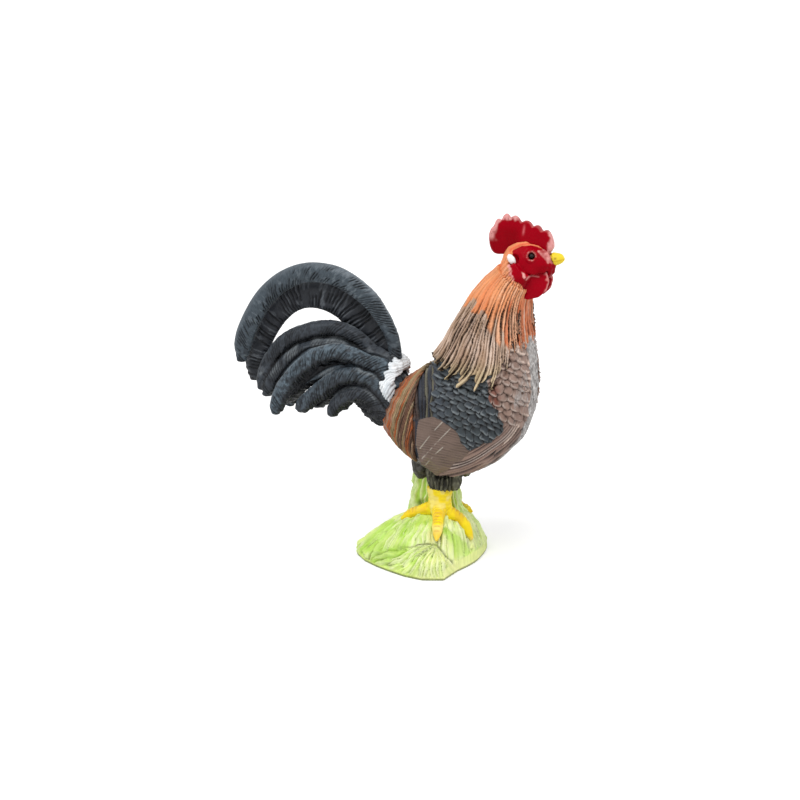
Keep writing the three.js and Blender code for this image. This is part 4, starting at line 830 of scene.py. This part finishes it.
def thigh_piece(side):
    """The feathers of one thigh. Gives the height of their hem."""
    piece = Carving("thigh_feathers_" + side, ["thigh_" + side], 0.18, 4)
    low, high = piece.at.min(0), piece.at.max(0)
    middle = (low + high) / 2
    x, y, z = piece.at.T
    angle = np.arctan2(y - middle[1], x - middle[0])
    f = strands(-z, angle * 3.4 + 0.5 * ripple(62, -z / 1.5, angle * 3), THIGH_STRAND, 61, 0.9, 2.4)
    ragged = step(low[2] + 1 - z, 0, 0.9) * (0.55 + 0.9 * noise(63, f["cell"]))
    at = piece.at + piece.normal * (0.25 * f["mid"] - 0.55 * f["slot"])[:, None]
    at[:, 2] += ragged
    piece.put(at)
    # Dull olive-black down, dry-brushed, with dark wash and painted shade in the slots
    coats = [
        ("rim", "#8b8a71", 0.7, f["mid"] * step(ripple(64, -z / 0.7, f["cell"]), -0.1, 0.5)),
        ("groove", "#12110d", 0.95, f["slot"]),
    ]
    look = dict(roughness=0.55, barbs=(0.18, "#1c1b16", 0.4), grain=0.06)
    piece.finish("body_feathers", "thigh_dark_paint_on_pvc", "#4f4e3f", coats, (-z, angle * 3), **look)
    return low[2] + 0.9


# Tail: plumes as smooth bands with slanting barb grooves. Their lines start at the tail's joint
TAIL_JOINT = np.array([-5.3, 29.5])
TUFT_ROOT = (1.2, 38.6)
RIGHT_SICKLE = [
    (-0.1, 9.5), (-0.9, 13.8), (-2.6, 17.3), (-5, 20.6), (-8.4, 23.3), (-12.2, 25.1), (-16.4, 25.6),
    (-20, 25), (-23.8, 23.1), (-27.3, 19.9), (-30, 15.7), (-31.8, 11.5), (-32.6, 6.7),
]
LEFT_SICKLE = [
    (-1.5, 6.6), (-3.3, 9.7), (-6, 12.7), (-9, 15.6), (-11.6, 18.3), (-14.8, 19.9), (-18.2, 20.5),
    (-21.7, 20), (-24.9, 18.2), (-27.6, 15.2), (-29.8, 11.3), (-31.2, 7.4), (-31.8, 1.9),
]
# Fan plumes: centre line, mm to each side, half width
PLUMES = [
    ([(-2.1, 6.4), (-5.5, 10.3), (-8.8, 12.8), (-12.4, 14.1), (-16.4, 14), (-20.9, 12.6),
     (-24.3, 10.5), (-26.9, 7.3), (-28.5, 4.1), (-29.3, 0.9)], 0, 1.8),
    ([(-2.1, 4.1), (-6.1, 7.7), (-9.9, 9.6), (-14.1, 10.1), (-18.4, 9.4), (-22.2, 7.5), (-25.1, 4.8),
     (-27.1, 2.2), (-28.3, -0.1)], 0, 2.4),
    ([(-2.1, 1.5), (-6.2, 5.1), (-10.3, 6.7), (-14.7, 6.3), (-19.3, 4.1), (-22.7, 0.9),
     (-24.3, -1.1)], 0, 2.1),
    ([(-2.7, -1.1), (-6.2, 1.5), (-9.7, 2.7), (-13.3, 2.1), (-16.3, 0.1), (-17.7, -1.5)], 0, 1.9),
    ([(-1.1, 6.1), (-3.1, 7.7), (-5.4, 8.9), (-8.5, 10), (-11.6, 10.3), (-14.8, 9.6), (-17.7, 7.9),
     (-20.5, 5.3), (-22.9, 2.1), (-24.5, -1.5), (-24.8, -3.1)], 3.6, 1.9),
    ([(-0.7, 1.7), (-2.3, 3.5), (-4.3, 5), (-7, 5.9), (-10.1, 5.6), (-13.1, 4.1), (-16.1, 1.7),
     (-20.1, -1.9)], 3.3, 1.9),
    ([(-0.1, -2.7), (-1.7, -0.3), (-3.7, 1.3), (-6.3, 2.1), (-9.1, 1.8), (-11.4, 0.4), (-13.5, -2.5)],
     2.8, 1.6),
]
# The CAD's bands are straight between rings, which get closer towards the tip
SICKLE_RINGS = 15
PLUME_RINGS = 9
RING_TAPER = 1.45
BEND_RADIUS = 15


def bend_of(line, rings):
    """A plume's smooth line, and by mm along it how far it lies off the straight pieces between CAD rings."""
    smooth = smooth_line(line, 400) + TAIL_JOINT
    reached = np.concatenate([[0], np.cumsum(np.linalg.norm(np.diff(smooth, axis=0), axis=1))])
    stops = (1 - (1 - np.linspace(0, 1, rings + 1)) ** RING_TAPER) * reached[-1]
    corners = np.stack([np.interp(stops, reached, smooth[:, k]) for k in (0, 1)], 1)
    chord = np.stack([np.interp(reached, stops, corners[:, k]) for k in (0, 1)], 1)
    return smooth[::3], reached, smooth - chord


def barb_grooves(along, across, seed, spacing, slant, bare, dense=0.15):
    """Short slanting cuts in patches, from 0 to 1. bare is the part of them that is left out, and dense says
    how far the patches close up."""
    place = (along + slant * across + 0.15 * ripple(seed + 4, along / 2, across)) / spacing
    cell = np.floor(place)
    cut = peak(place - cell - 0.5, 0.24) * step(noise(seed, cell, 0 * cell), bare, bare + 0.2)
    start = 0.9 * (noise(seed + 1, cell, 0 * cell) - 0.5)
    patch = step(ripple(seed + 2, along / 3.2, across / 1.6 + start) + dense, -0.45, 0.05)
    return cut * patch


def sickle_piece(side, line, half, paints):
    piece = Carving("sickle_plume_" + side, ["sickle_" + side], 0.16, 22)
    at = piece.at
    smooth, reached, bend = bend_of(line, SICKLE_RINGS)
    along, left, _ = beside(smooth, at[:, 0], at[:, 2])
    outwards = -left / half
    swing = 1 + outwards * half / BEND_RADIUS
    for k, axis in enumerate((0, 2)):
        at[:, axis] += np.interp(along, reached, bend[:, k]) * swing
    piece.put(at)
    seed, spacing, slant, far = (71, 0.6, 0.8, 0.6) if side == "right" else (73, 0.75, 0.15, 0.9)
    dense = 0.5 * (1 - step(along, 12, 26)) - 0.15 * (side == "right")
    cuts = barb_grooves(along, outwards * half, seed, spacing, slant, 0.1, dense)
    far = far + 0.4 * (1 - step(along, 12, 30))
    inner = step(far - outwards, -0.1, 0.4) * step(outwards + 1.1, 0, 0.3)
    tip = step(along, reached[-1] - 6, reached[-1] - 1.5)
    cuts = limit(cuts * inner * step(abs(piece.normal[:, 1]), 0.25, 0.6))
    # A low ridge runs along each band, nearer to its outer edge, and the tip is rough
    ridge = 0.16 * peak(outwards - 0.35, 0.5)
    rough = 0.12 * ripple(7, along / 0.55, outwards * 3) * tip
    rough = rough + 0.05 * ripple(9, along / 0.4, outwards * 5) * inner
    piece.raise_by(ridge - 0.36 * cuts + rough - 0.05)
    root = 1 - step(along, 1, 12)
    wash = 0.3 * ripple(12, along / 2.5, outwards * 1.5) + 0.9 * root + 0.5 * tip - 0.3 * outwards
    # Painted shadow: the far plume is darkened where it lies behind the near one, and the near one gets a
    # dark line along its outer edge
    behind = step(outwards, 0, 0.6) if side == "left" else 0.6 * step(outwards, 0.9, 1)
    rubbed = step(ripple(14, along / 0.34, outwards * 2), 0.15, 0.5)
    pitted = step(ripple(8, along / 0.45, outwards * 2.5), 0.1, 0.5)
    brushed = step(ripple(13, along / 0.5, outwards * 4), -0.3, 0.3)
    # Satin paint over slate: charcoal washed over root and tip, pale dry-brush on the ridges, a painted
    # highlight along the outer edge, dark borders with painted shadow on the far plume, and dark wash with
    # painted shade in the cuts
    slate, edge, lower = paints
    coats = [
        # Painted highlight: a paler band along the outer edge
        ("outer", edge, 0.75, step(outwards, 0.3, 0.9) * (0.3 + 0.7 * step(at[:, 0], -25, -9))),
        ("ridges", lower, 0.55, inner * (1 - cuts) * rubbed),
        ("wash", "#212429", 0.7, limit(step(wash, 0.4, 0.9) * (0.4 + 0.6 * brushed))),
        ("border", "#15171a", 0.7, step(-outwards, 0.78, 0.98) + behind),
        ("groove", "#0e1013", 0.95, limit(cuts * 1.3 + 0.5 * tip * pitted)),
    ]
    look = dict(roughness=0.42, barbs=(0.2, "#1f2329", 0.4))
    lie = (outwards * 3, along + outwards * 1.2)
    piece.finish("tail_feathers", "sickle_slate_paint_on_pvc_" + side, slate, coats, lie, **look)


def fan_piece():
    piece = Carving("tail_fan_plumes", ["tail_fan"], 0.19, 8)
    at = piece.at
    best, second = np.full(len(at), 1e9), np.full(len(at), 1e9)
    along, across, which = np.zeros(len(at)), np.zeros(len(at)), np.zeros(len(at))
    shift = np.zeros((len(at), 2))
    for k, (line, aside, half) in enumerate(PLUMES):
        smooth, reached, bend = bend_of(line, PLUME_RINGS)
        gone, left, far = beside(smooth, at[:, 0], at[:, 2])
        off = (far / half) ** 2 + ((abs(at[:, 1]) - aside) / 1.5) ** 2
        better = off < best
        second = np.where(better, best, np.minimum(second, off))
        best[better] = off[better]
        along[better], across[better], which[better] = gone[better], -left[better] / half, k
        own = np.stack([np.interp(gone, reached, bend[:, i]) for i in (0, 1)], 1)
        shift[better] = (own * step(1.8 - off, 0, 0.8)[:, None])[better]
    at[:, [0, 2]] += shift
    piece.put(at)
    cuts = barb_grooves(along, across * 1.9 + 10 * which, 81, 0.6, 0.7, 0.1)
    cuts = cuts * step(0.75 - across, -0.1, 0.3) * step(abs(piece.normal[:, 1]), 0.25, 0.6)
    edge = step(abs(across), 0.8, 1)
    # Creases where two plumes meet, and a lip along the upper one
    meeting = np.sqrt(second) - np.sqrt(best)
    crease = peak(meeting, 0.12)
    lip = peak(meeting - 0.4, 0.17) * step(across, -0.2, 0.3)
    lower = step(-across, 0.2, 0.9)
    rough = ripple(4, along / 0.6, across * 3) * (0.06 + 0.14 * lower)
    rough = rough + 0.1 * ripple(5, along / 0.35, across * 6) * lower
    ridge = 0.14 * peak(across - 0.2, 0.6)
    piece.raise_by(ridge - 0.28 * cuts - 0.08 * edge - 0.35 * crease + 0.08 * lip + rough)
    slate = np.select([which == 4, which == 5, which == 6], [1, 0.6, 0.1], 0.12) * step(across, -1, 0)
    mottled = step(ripple(6, along / 0.35, across * 4 + 7 * which) - 0.4 * across, -0.15, 0.25)
    lit = np.maximum(lip, peak(across - 0.9, 0.09)) * step(ripple(15, along / 1.5, 3 * which), -0.7, 0.1)
    # Charcoal with a slate dry-brush on the outer plumes' upper edges, a pale painted highlight along the
    # plumes' upper rims, darker lower halves, and dark wash with painted shade in the cuts and in the creases
    # where plumes meet
    coats = [
        ("slate", "#61707b", 0.95, slate * (1 - 0.6 * mottled)),
        ("dark", "#191a1d", 0.8, limit(lower + 0.5 * mottled)),
        ("rim", "#9aa1a5", 0.6, lit),
        ("groove", "#0c0d0f", 0.95, limit(1.2 * cuts + crease)),
    ]
    lie = (across * 3, along + across)
    barbs = (0.2, "#1b1e22", 0.45)
    piece.finish("tail_feathers", "tail_charcoal_paint_on_pvc", "#3b3f46", coats, lie, barbs=barbs)


def tuft_piece():
    piece = Carving("tail_tuft_down", ["tail_tuft"], 0.15, 4)
    x, y, z = piece.at.T
    reach = np.hypot(x - TUFT_ROOT[0], z - TUFT_ROOT[1])
    turn = np.arctan2(z - TUFT_ROOT[1], TUFT_ROOT[0] - x)
    across = turn * 10 + 0.7 * np.sin(reach * 0.7) + 0.08 * abs(y)
    across = across + 0.4 * ripple(92, reach / 2, turn * 5)
    f = strands(reach, across * 1.4, TUFT_STRAND, 91, 0.5, 3)
    crown = np.sqrt(limit(1 - (1.85 * f["x"]) ** 2))
    clumps = 0.2 * ripple(93, turn * 6, reach / 3)
    piece.raise_by(0.1 * crown + 0.2 * (f["tint"] - 0.5) - 0.2 * f["slot"] + clumps)
    # White acrylic over the charcoal: bluish grey stays in the cracks, where it also serves as painted shade
    coats = [
        ("tip", "#c2ccd3", 0.6, step(reach, 6, 8.5) * step(f["tint"], 0.3, 0.7)),
        ("groove", "#84909a", 0.7, limit(f["slot"] * 1.1 - 0.25)),
    ]
    barbs = (0.15, "#c6d0d8", 0.3)
    piece.finish("white_down", "white_down_paint_on_pvc", "#fafdff", coats, (reach, across), barbs=barbs)


# Head: skull and face, comb, wattles, lobes, eyes and beak
HEAD = np.array([20.4, 59.2])
EYE = HEAD + (1.45, 1.75)
LOBE = HEAD - (2.1, -1)
# On the head's side as the photograph shows it: the eye, the outline where the face's paint ends, and
# outlines of pink patches that are rubbed paint and painted highlights
EYE_SEEN = (22, 61.1)
FACE = [
    (18.6, 60.2), (18.2, 59.8), (17.7, 59.5), (18, 58.1), (17.7, 57.4), (18.3, 56.7), (19.1, 56.15),
    (19.8, 55.9), (20.3, 55.3), (20.9, 54), (23, 52), (28, 54), (28.5, 59), (28, 62),
    (25.3, 62.9), (24.3, 62.6), (23, 63), (21.9, 63.15), (20.3, 62.95), (19.2, 62.5), (18.2, 61.8),
    (18.3, 61),
]
BROW_PATCH = [
    (23, 62.2), (24.6, 62.6), (26.2, 62.4), (27, 60.4), (26, 59.7), (24.8, 60.2), (23.9, 61.2),
]
NAPE_PATCH = [
    (17.5, 59.3), (17.8, 59.5), (18, 58.8), (18.35, 58.1), (18.35, 57.4), (19, 56.6), (18.9, 56.2),
    (18.2, 56.6), (17.6, 57.4), (17.7, 58),
]
CHEEK_PATCH = [(20, 58.3), (20.6, 57.9), (21, 57), (20.9, 56.3), (20.5, 56.6), (20.3, 57.3)]
CURL = [(21.1, 56.6), (21.5, 57.1), (22.2, 57.4), (23.5, 57.3)]


def curl_line(x, z):
    """1 along the fine pale curl on the cheek, which ends on the wattle."""
    return peak(beside(smooth_line(CURL, 60), x, z)[2], 0.11)


def head_piece():
    piece = Carving("head_skin", ["head"], 0.14, 10)
    x, _, z = piece.at.T
    above = (piece.at - NECK_POINT) @ NECK_WAY
    face = step(inside(FACE, x, z) + 0.12 * ripple(3, x / 1.2, z / 1.2), -0.1, 0.1)
    eye_far = np.hypot(x - EYE[0], z - EYE[1])
    lobe_far = np.hypot(x - LOBE[0], z - LOBE[1])
    skull = step(z, 60.5, 62) * (1 - face)
    # The skin closes round the eye and lobe, rises to the comb and sits down on the neck
    closing = 0.32 * step(1.35 - eye_far, 0, 0.4) - 0.15 * step(1.1 - lobe_far, 0, 0.4)
    # It thickens behind the beak, and down to the wattles
    closing += 0.3 * step(x, 24.8, 25.6) + 0.4 * peak(z - 57.2, 0.9) * step(x, 20.2, 21.4)
    piece.raise_by(0.2 * skull + 0.1 * (1 - face) + closing)
    piece.put(piece.at - NECK_WAY * (0.6 * (1 - step(above, 0.1, 1.6)))[:, None])
    x, z = slanted(piece.at, *HEAD_VIEW)
    eye_far = np.hypot(x - EYE_SEEN[0], z - EYE_SEEN[1])
    blotch = ripple(15, x / 0.45, z / 0.45)
    depth = inside(FACE, x, z) + 0.12 * ripple(3, x / 1.2, z / 1.2)
    face = step(depth, -0.08, 0.08)
    curl = curl_line(x, z)
    brow, nape, cheek = (
        step(inside(patch, x, z) + 0.25 * blotch, -0.1, 0.15) for patch in (BROW_PATCH, NAPE_PATCH, CHEEK_PATCH)
    )
    crinkle = step(z, 58.5, 59.5) * step(x, 22.8, 24) + step(61.3 - z, -0.2, 0.2) * step(x, 25, 26)
    edge = peak(depth, 0.14) * step(z, 54.5, 56)
    # The neck's strands start on the nape
    nape_strands, nape_masks, _ = hackle_pattern(piece.at)
    on_nape = (1 - face) * (1 - step(z, 59.5, 61))
    skin = (0.03 + 0.05 * crinkle) * blotch * face
    piece.raise_by(0.1 * curl - 0.1 * edge + skin + 0.08 * cheek + on_nape * 1.5 * nape_strands)
    shadow = limit(step(60.4 - z, 0, 2.5) * step(x, 21.5, 23.5) + 0.8 * step(57.2 - z, -0.5, 1))
    # Painted highlights and rubbed paint in pink: the brow, nape and cheek patches and the curl
    wear_and_painted_highlight = limit(brow * (0.55 + 0.45 * blotch) + nape * (0.85 + 0.25 * blotch) + cheek + 0.8 * curl)
    # A pink ring round the eye, broken into arcs, that is also painted highlight
    ring = peak(eye_far - 0.82, 0.08) * step(ripple(16, x / 0.6, z / 0.6), -0.6, 0.2)
    # Orange at the skull and nape, glossy crimson on the bare face with painted shade on its lower part, pink
    # on its edges and patches as rubbed paint and painted highlights, and a pink eye ring broken into arcs
    # that is also painted highlight
    coats = [
        ("lit_orange", "#fdc8a2", 0.8, on_nape * nape_masks["lit_orange"]),
        ("groove", "#4a2418", 0.8, on_nape * nape_masks["groove"]),
        ("red_edge", "#e0503c", 0.8, peak(depth + 0.3, 0.2) * step(z, 61, 62)),
        ("face", "#a10016", 1.6, face),
        ("shadow", "#83000c", 0.8, face * shadow),
        ("wear_and_painted_highlight", "#efaaa4", 1, wear_and_painted_highlight),
        ("eye_ring", "#e0a097", 0.95, ring),
        ("eye_dark", "#3a0a08", 1, step(0.74 - eye_far, 0, 0.12)),
    ]
    piece.finish("red_skin", "face_gloss_paint_on_pvc", "#ec9868", coats, roughness=0.28, gloss=0.05)


def comb_piece():
    piece = Carving("comb_skin", ["comb"], 0.14, 5)
    # The comb's foot reaches down onto the skull
    off = piece.at - (HEAD[0], 0, HEAD[1])
    near = 1 - step(np.linalg.norm(off / (5.1, 3.9, 4), axis=1), 1.06, 1.25)
    piece.put(piece.at - off * (0.09 * near)[:, None])
    x, z = piece.at[:, 0] - HEAD[0], piece.at[:, 2] - HEAD[1]
    flat = step(abs(piece.normal[:, 1]), 0.55, 0.95)
    piece.raise_by(flat * 0.07 * ripple(23, x / 1.6, z / 1.6))
    edge = 1 - step(abs(piece.normal[:, 1]), 0.35, 0.85)
    blotch = 0.35 * ripple(25, x / 0.5, z / 0.5)
    # Pink on the back rim, the front edge and the points: rubbed paint and painted highlights
    back = step(-6.2 - x + 0.35 * np.clip(z - 6, 0, 3) + blotch, -0.3, 0.5) * step(z, 3.6, 5)
    front = step(x - 4 + blotch, -0.2, 0.3) * step(z, 0.8, 2) * (1 - step(z, 5.6, 6.6))
    tips = step(z - 7.9 + 1.4 * blotch, -0.2, 0.5) * (1 - step(x, -2.6, -1.6))
    # A painted highlight: a pale pink streak down the comb
    painted_highlight_streak = peak(x - 0.1 * z + 1.4, 0.2) * step(z, 4.9, 5.8) * (1 - step(z, 6.4, 7.6))
    spots = limit(back + front + tips) * step(ripple(26, x / 0.35, z / 0.35), 0.45, 0.7)
    # Thick glossy crimson with painted shade on its back part, pink on its points, back rim and front edge as
    # rubbed paint and painted highlights, a painted highlight streak, and darker specks
    coats = [
        ("shadow", "#86000d", 0.8, flat * step(-1 - x, 0, 1.5) * (1 - step(z, 5.5, 7.5))),
        ("wear_and_painted_highlight", "#e7a3a0", 0.95, limit(back + front + tips + 0.3 * edge)),
        ("painted_highlight_streak", "#d2666c", 0.85, painted_highlight_streak),
        ("dark_spot", "#7a2422", 0.7, spots),
    ]
    piece.finish("red_skin", "comb_gloss_paint_on_pvc", "#9d0015", coats, roughness=0.26, gloss=0.05)


def wattle_piece(side):
    piece = Carving("wattle_skin_" + side, ["wattle_" + side], 0.14, 10)
    # It reaches further back, under the cheek
    at = piece.at.copy()
    at[:, 0] = at[:, 0].max() - 1.18 * (at[:, 0].max() - at[:, 0])
    piece.put(at)
    at = piece.at
    low, high = at.min(0), at.max(0)
    across, _, up = (at - (low + high) / 2).T
    across = across / (high[0] - low[0]) * 2
    out = np.hypot(across, up / (high[2] - low[2]) * 2)
    piece.raise_by(0.05 * ripple(33, at[:, 0] / 1.5, at[:, 2] / 1.5))
    blotch = 0.06 * ripple(34, at[:, 0] / 0.5, at[:, 2] / 0.5)
    # Painted highlight in pink along the wattle's front edge
    strip = step(out + blotch, 0.92, 0.98) * step(across, 0.35, 0.6) * step(up, -2.6, -1.2)
    strip = np.maximum(strip, step(piece.normal[:, 0] + 2 * blotch, 0.55, 0.75) * step(up, -2.8, -1.8))
    # The same crimson, with painted shade under the face, and a painted highlight in pink along the front
    # edge and on the curl
    coats = [
        ("shadow", "#85000d", 0.8, step(up, 0, 2.6)),
        ("wear_and_painted_highlight", "#e5918e", 0.8, limit(strip + 0.9 * curl_line(*slanted(at, *HEAD_VIEW)))),
    ]
    paint = "wattle_gloss_paint_on_pvc_" + side
    piece.finish("red_skin", paint, "#a50018", coats, roughness=0.26, gloss=0.05)


def small_head_pieces():
    for side in ("right", "left"):
        lobe = Carving("ear_lobe_skin_" + side, ["ear_lobe_" + side], 0.1, 4)
        # A drop that hangs forward and down
        spot = lobe.at.copy()
        spot[:, 2] -= 0.4 * (spot[:, 0] - spot[:, 0].mean())
        spot[:, 0] -= 0.2 * (spot[:, 0] - spot[:, 0].min())
        lobe.put(spot)
        # White satin paint, a little rubbed
        wear_and_painted_highlight = step(ripple(41, lobe.at[:, 0] / 0.4, lobe.at[:, 2] / 0.4), 0.2, 0.7)
        coats = [("wear_and_painted_highlight", "#dcd2cf", 0.5, wear_and_painted_highlight)]
        lobe.finish("ear_lobe_skin", "lobe_white_paint_on_pvc_" + side, "#f4f2f0", coats, roughness=0.35)
        # A drop of black gloss
        eye = Carving("eye_ball_" + side, ["eye_" + side], 0.08, 4)
        eye.raise_by(-0.12)
        eye.finish("eye_black", "eye_black_gloss_" + side, "#120c0a", [], roughness=0.12)
    beak = Carving("beak_horn", ["beak"], 0.1, 6)
    x, _, z = beak.at.T
    middle = (beak.at.min(0) + beak.at.max(0)) / 2
    nostril = peak(np.hypot(x - middle[0] - 0.5, (z - middle[2] - 0.15) * 1.2), 0.24)
    mouth = peak(z - middle[2] + 0.35, 0.12) * step(x, middle[0] - 0.6, middle[0])
    blunt = step(x, middle[0] + 0.2, middle[0] + 2)
    beak.raise_by(0.12 * (1 - blunt) - 0.12 * nostril - 0.06 * mouth)
    beak.put(beak.at + (0.35 * blunt)[:, None] * (0, 0, 1))
    # Yellow satin paint, a brown dot for the nostril
    coats = [("nostril", "#8a5a26", 0.9, nostril), ("mouth", "#d9a420", 0.6, mouth)]
    beak.finish("beak_horn", "beak_yellow_paint_on_pvc", "#f9dc34", coats, roughness=0.35)


# Feet and grass
def foot_piece(side, ankle, hem):
    """One foot. Its toes spread from the ankle (x, y), and the thigh's feathers end at the hem (z)."""
    piece = Carving("foot_skin_" + side, ["foot_" + side], 0.15, 6)
    x, y, z = piece.at.T
    reach = np.hypot(x - ankle[0], y - ankle[1])
    turn = np.arctan2(y - ankle[1], x - ankle[0])
    on_toe = step(reach, 1.8, 2.6)
    # Scutes every 0.7 mm along the toes, and rings every 0.9 mm round the shank
    cross = peak(np.mod(reach / 0.7, 1) - 0.5, 0.18) * on_toe * step(piece.normal[:, 2], 0.2, 0.7)
    ring = peak(np.mod(z / 0.9, 1) - 0.5, 0.2) * (1 - on_toe)
    # The near foot is thicker, and its shank widest just below the hem of the feathers
    thick = (0.26 if side == "right" else 0.1) * (1 - step(z, hem - 0.1, hem + 0.5))
    if side == "right":
        below = 1 - step(z, hem - 0.1, hem + 0.3)
        thick += (0.3 + 0.25 * step(z, hem - 3, hem - 0.5)) * below * (1 - on_toe)
    piece.raise_by(thick - 0.1 * cross - 0.06 * ring + 0.05 * ripple(5, reach, turn * 6))
    line = limit(cross + 0.35 * ring) * step(ripple(6, reach, turn * 3), -0.4, 0.3)
    # Yellow satin paint, cream where it is thin, with brown wash and painted shade between the scutes
    coats = [
        ("cream", "#fff2a0", 0.6, step(ripple(9, z / 1.5, turn * 2), 0, 0.6)),
        ("tan", "#f6bd2e", 0.5, on_toe * step(ripple(7, reach / 1.3, turn * 5), -0.1, 0.5)),
        ("line", "#bd8a45", 0.6, line),
    ]
    piece.finish("leg_skin", "leg_yellow_paint_on_pvc_" + side, "#ffe31c", coats, roughness=0.4)


# Where the broad blades spread from, and the hole between the legs
GRASS_MIDDLE = np.array([3.4, -1])
HOLE = np.array([0, -3.5, 11])
# Where the second fan of blades starts on the front slope, and half its spread in radians
FAN_START = np.array([6.8, -13.2, 6.5])
FAN_SPREAD = 1.05


def grass_piece():
    piece = Carving("grass_mound", ["grass_base"], 0.17, 3)
    x, y, z = piece.at.T
    reach = np.hypot(x - GRASS_MIDDLE[0], y - GRASS_MIDDLE[1])
    turn = np.arctan2(y - GRASS_MIDDLE[1], x - GRASS_MIDDLE[0])
    facing_up = piece.normal[:, 2]
    upright = step(z - 8.2 - 0.5 * ripple(10, turn * 3, reach), 0, 1.5)
    # The second fan's reach and turn are measured down the slope
    fan_x, fan_down = x - FAN_START[0], (FAN_START[2] - z) + 0.6 * (FAN_START[1] - y)
    fan_reach, fan_turn = np.hypot(fan_x, fan_down), np.arctan2(fan_x, fan_down) + 0.3
    within = FAN_SPREAD - abs(fan_turn)
    in_fan = step(within + 0.1 * ripple(24, fan_reach, fan_turn), -0.02, 0.02) * step(fan_reach, 0.5, 0.7)
    reach = np.where(in_fan > 0.5, fan_reach, reach)
    around = np.where(in_fan > 0.5, fan_turn * 6.5, turn * 8)
    fan_edge = peak(within * fan_reach, 0.2) * step(8 - fan_reach, 0, 3)
    # Broad blades that lie outwards, and finer lines over them
    bent = around + 0.45 * ripple(11, reach / 4, around / 4) + 0.25 * ripple(18, reach / 1.5, around)
    swayed = reach + 0.7 * ripple(12, around / 2, reach / 3)
    blades = feathers(swayed, bent, *GRASS_BLADE, overlap=1.7, pointed=0.9, uneven=0.5, seed=101)
    fine = strands(reach, bent * 2.2 + 0.4 * ripple(19, reach / 2, around), GRASS_LINE, 103, 0.8, 2.2)
    lying = step(facing_up, 0, 0.25) * (1 - upright)
    # The clump's blades stand: they lean and fork
    lean = turn * 5 + 0.5 * ripple(13, z / 3, turn * 3) + 0.3 * ripple(20, z / 1.3, turn * 7)
    stems = strands(z, lean, GRASS_STEM, 105, 0.9, 3.5)
    standing = upright * (1 - step(facing_up, 0.7, 0.95))
    deep = np.maximum(gap(blades, 0.18), fan_edge)
    hole = peak(np.linalg.norm(piece.at - HOLE, axis=1), 0.6)
    bumps = ripple(21, x / 0.9, y / 0.9 + z / 0.9)
    laid = 0.3 * in_fan * step(7 - fan_reach, 0, 4) + relief(blades, 0.5, 0.35, 0.25)
    piece.raise_by(
        lying * (laid - 0.35 * deep - 0.16 * fine["slot"] - 0.15 + 0.08 * bumps)
        + standing * (0.25 * stems["mid"] - 0.45 * stems["slot"] + 0.15 * bumps)
        - 0.7 * hole
    )
    patches = step(ripple(22, x / 3.2, y / 3.2 + z / 4), 0, 0.5)
    crest = np.exp(-((blades["x"] * 3) ** 2)) * step(blades["t"], 0.15, 0.7)
    pale = lying * (crest + 0.5 * fine["mid"]) * (1 - 0.7 * patches) + standing * stems["mid"]
    recess = lying * (0.8 * patches + step(blades["under"], 0.9, 0.1) * 0.6)
    recess = recess + standing * (0.4 + stems["slot"])
    dashes = np.maximum(step(ripple(17, reach / 1.2, bent * 2), 0, 0.35), 0.7 * in_fan)
    lines = lying * ((deep * 1.5 - 0.55 + (0.7 - 0.4 * in_fan) * fine["slot"]) * dashes + 0.8 * fan_edge)
    # Lime paint over a deeper green: the recesses stay green, the blades are rubbed pale with painted
    # highlights on their crests, and grey-brown wash with painted shade stays in the thin grooves and along
    # the second fan's edge
    coats = [
        ("warm", "#fbfbb2", 0.85, step(x - y * 0.4 + 2 * ripple(23, x / 3, y / 3), 7, 12)),
        ("recess", "#a6dd26", 0.75, limit(recess)),
        ("pale", "#f3fac8", 0.85, limit(pale)),
        ("groove", "#75734c", 0.8, limit(lines)),
        # Painted shade: the hole between the legs is near-black, and a darker line runs along the bottom edge
        # where the mound meets the floor
        ("hole", "#1f3408", 1, hole),
        ("foot_line", "#666a48", 0.85, step(0.6 - z, 0, 0.3)),
    ]
    barbs = (0.42, "#a8c04e", 0.28)
    piece.finish("grass", "grass_lime_paint_on_pvc", "#ddf285", coats, (reach, bent), barbs=barbs)


studio()
hackle_piece()
saddle_piece()
hems = {}
for side in ("right", "left"):
    wing_piece(side)
    hems[side] = thigh_piece(side)
    wattle_piece(side)
body_piece()
sickle_piece("right", RIGHT_SICKLE, 2.15, ("#48525a", "#89929a", "#717b83"))
sickle_piece("left", LEFT_SICKLE, 3.2, ("#35383e", "#454a51", "#7f858c"))
fan_piece()
tuft_piece()
head_piece()
comb_piece()
small_head_pieces()
foot_piece("right", (4.8, -5), hems["right"])
foot_piece("left", (3.8, 5), hems["left"])
grass_piece()
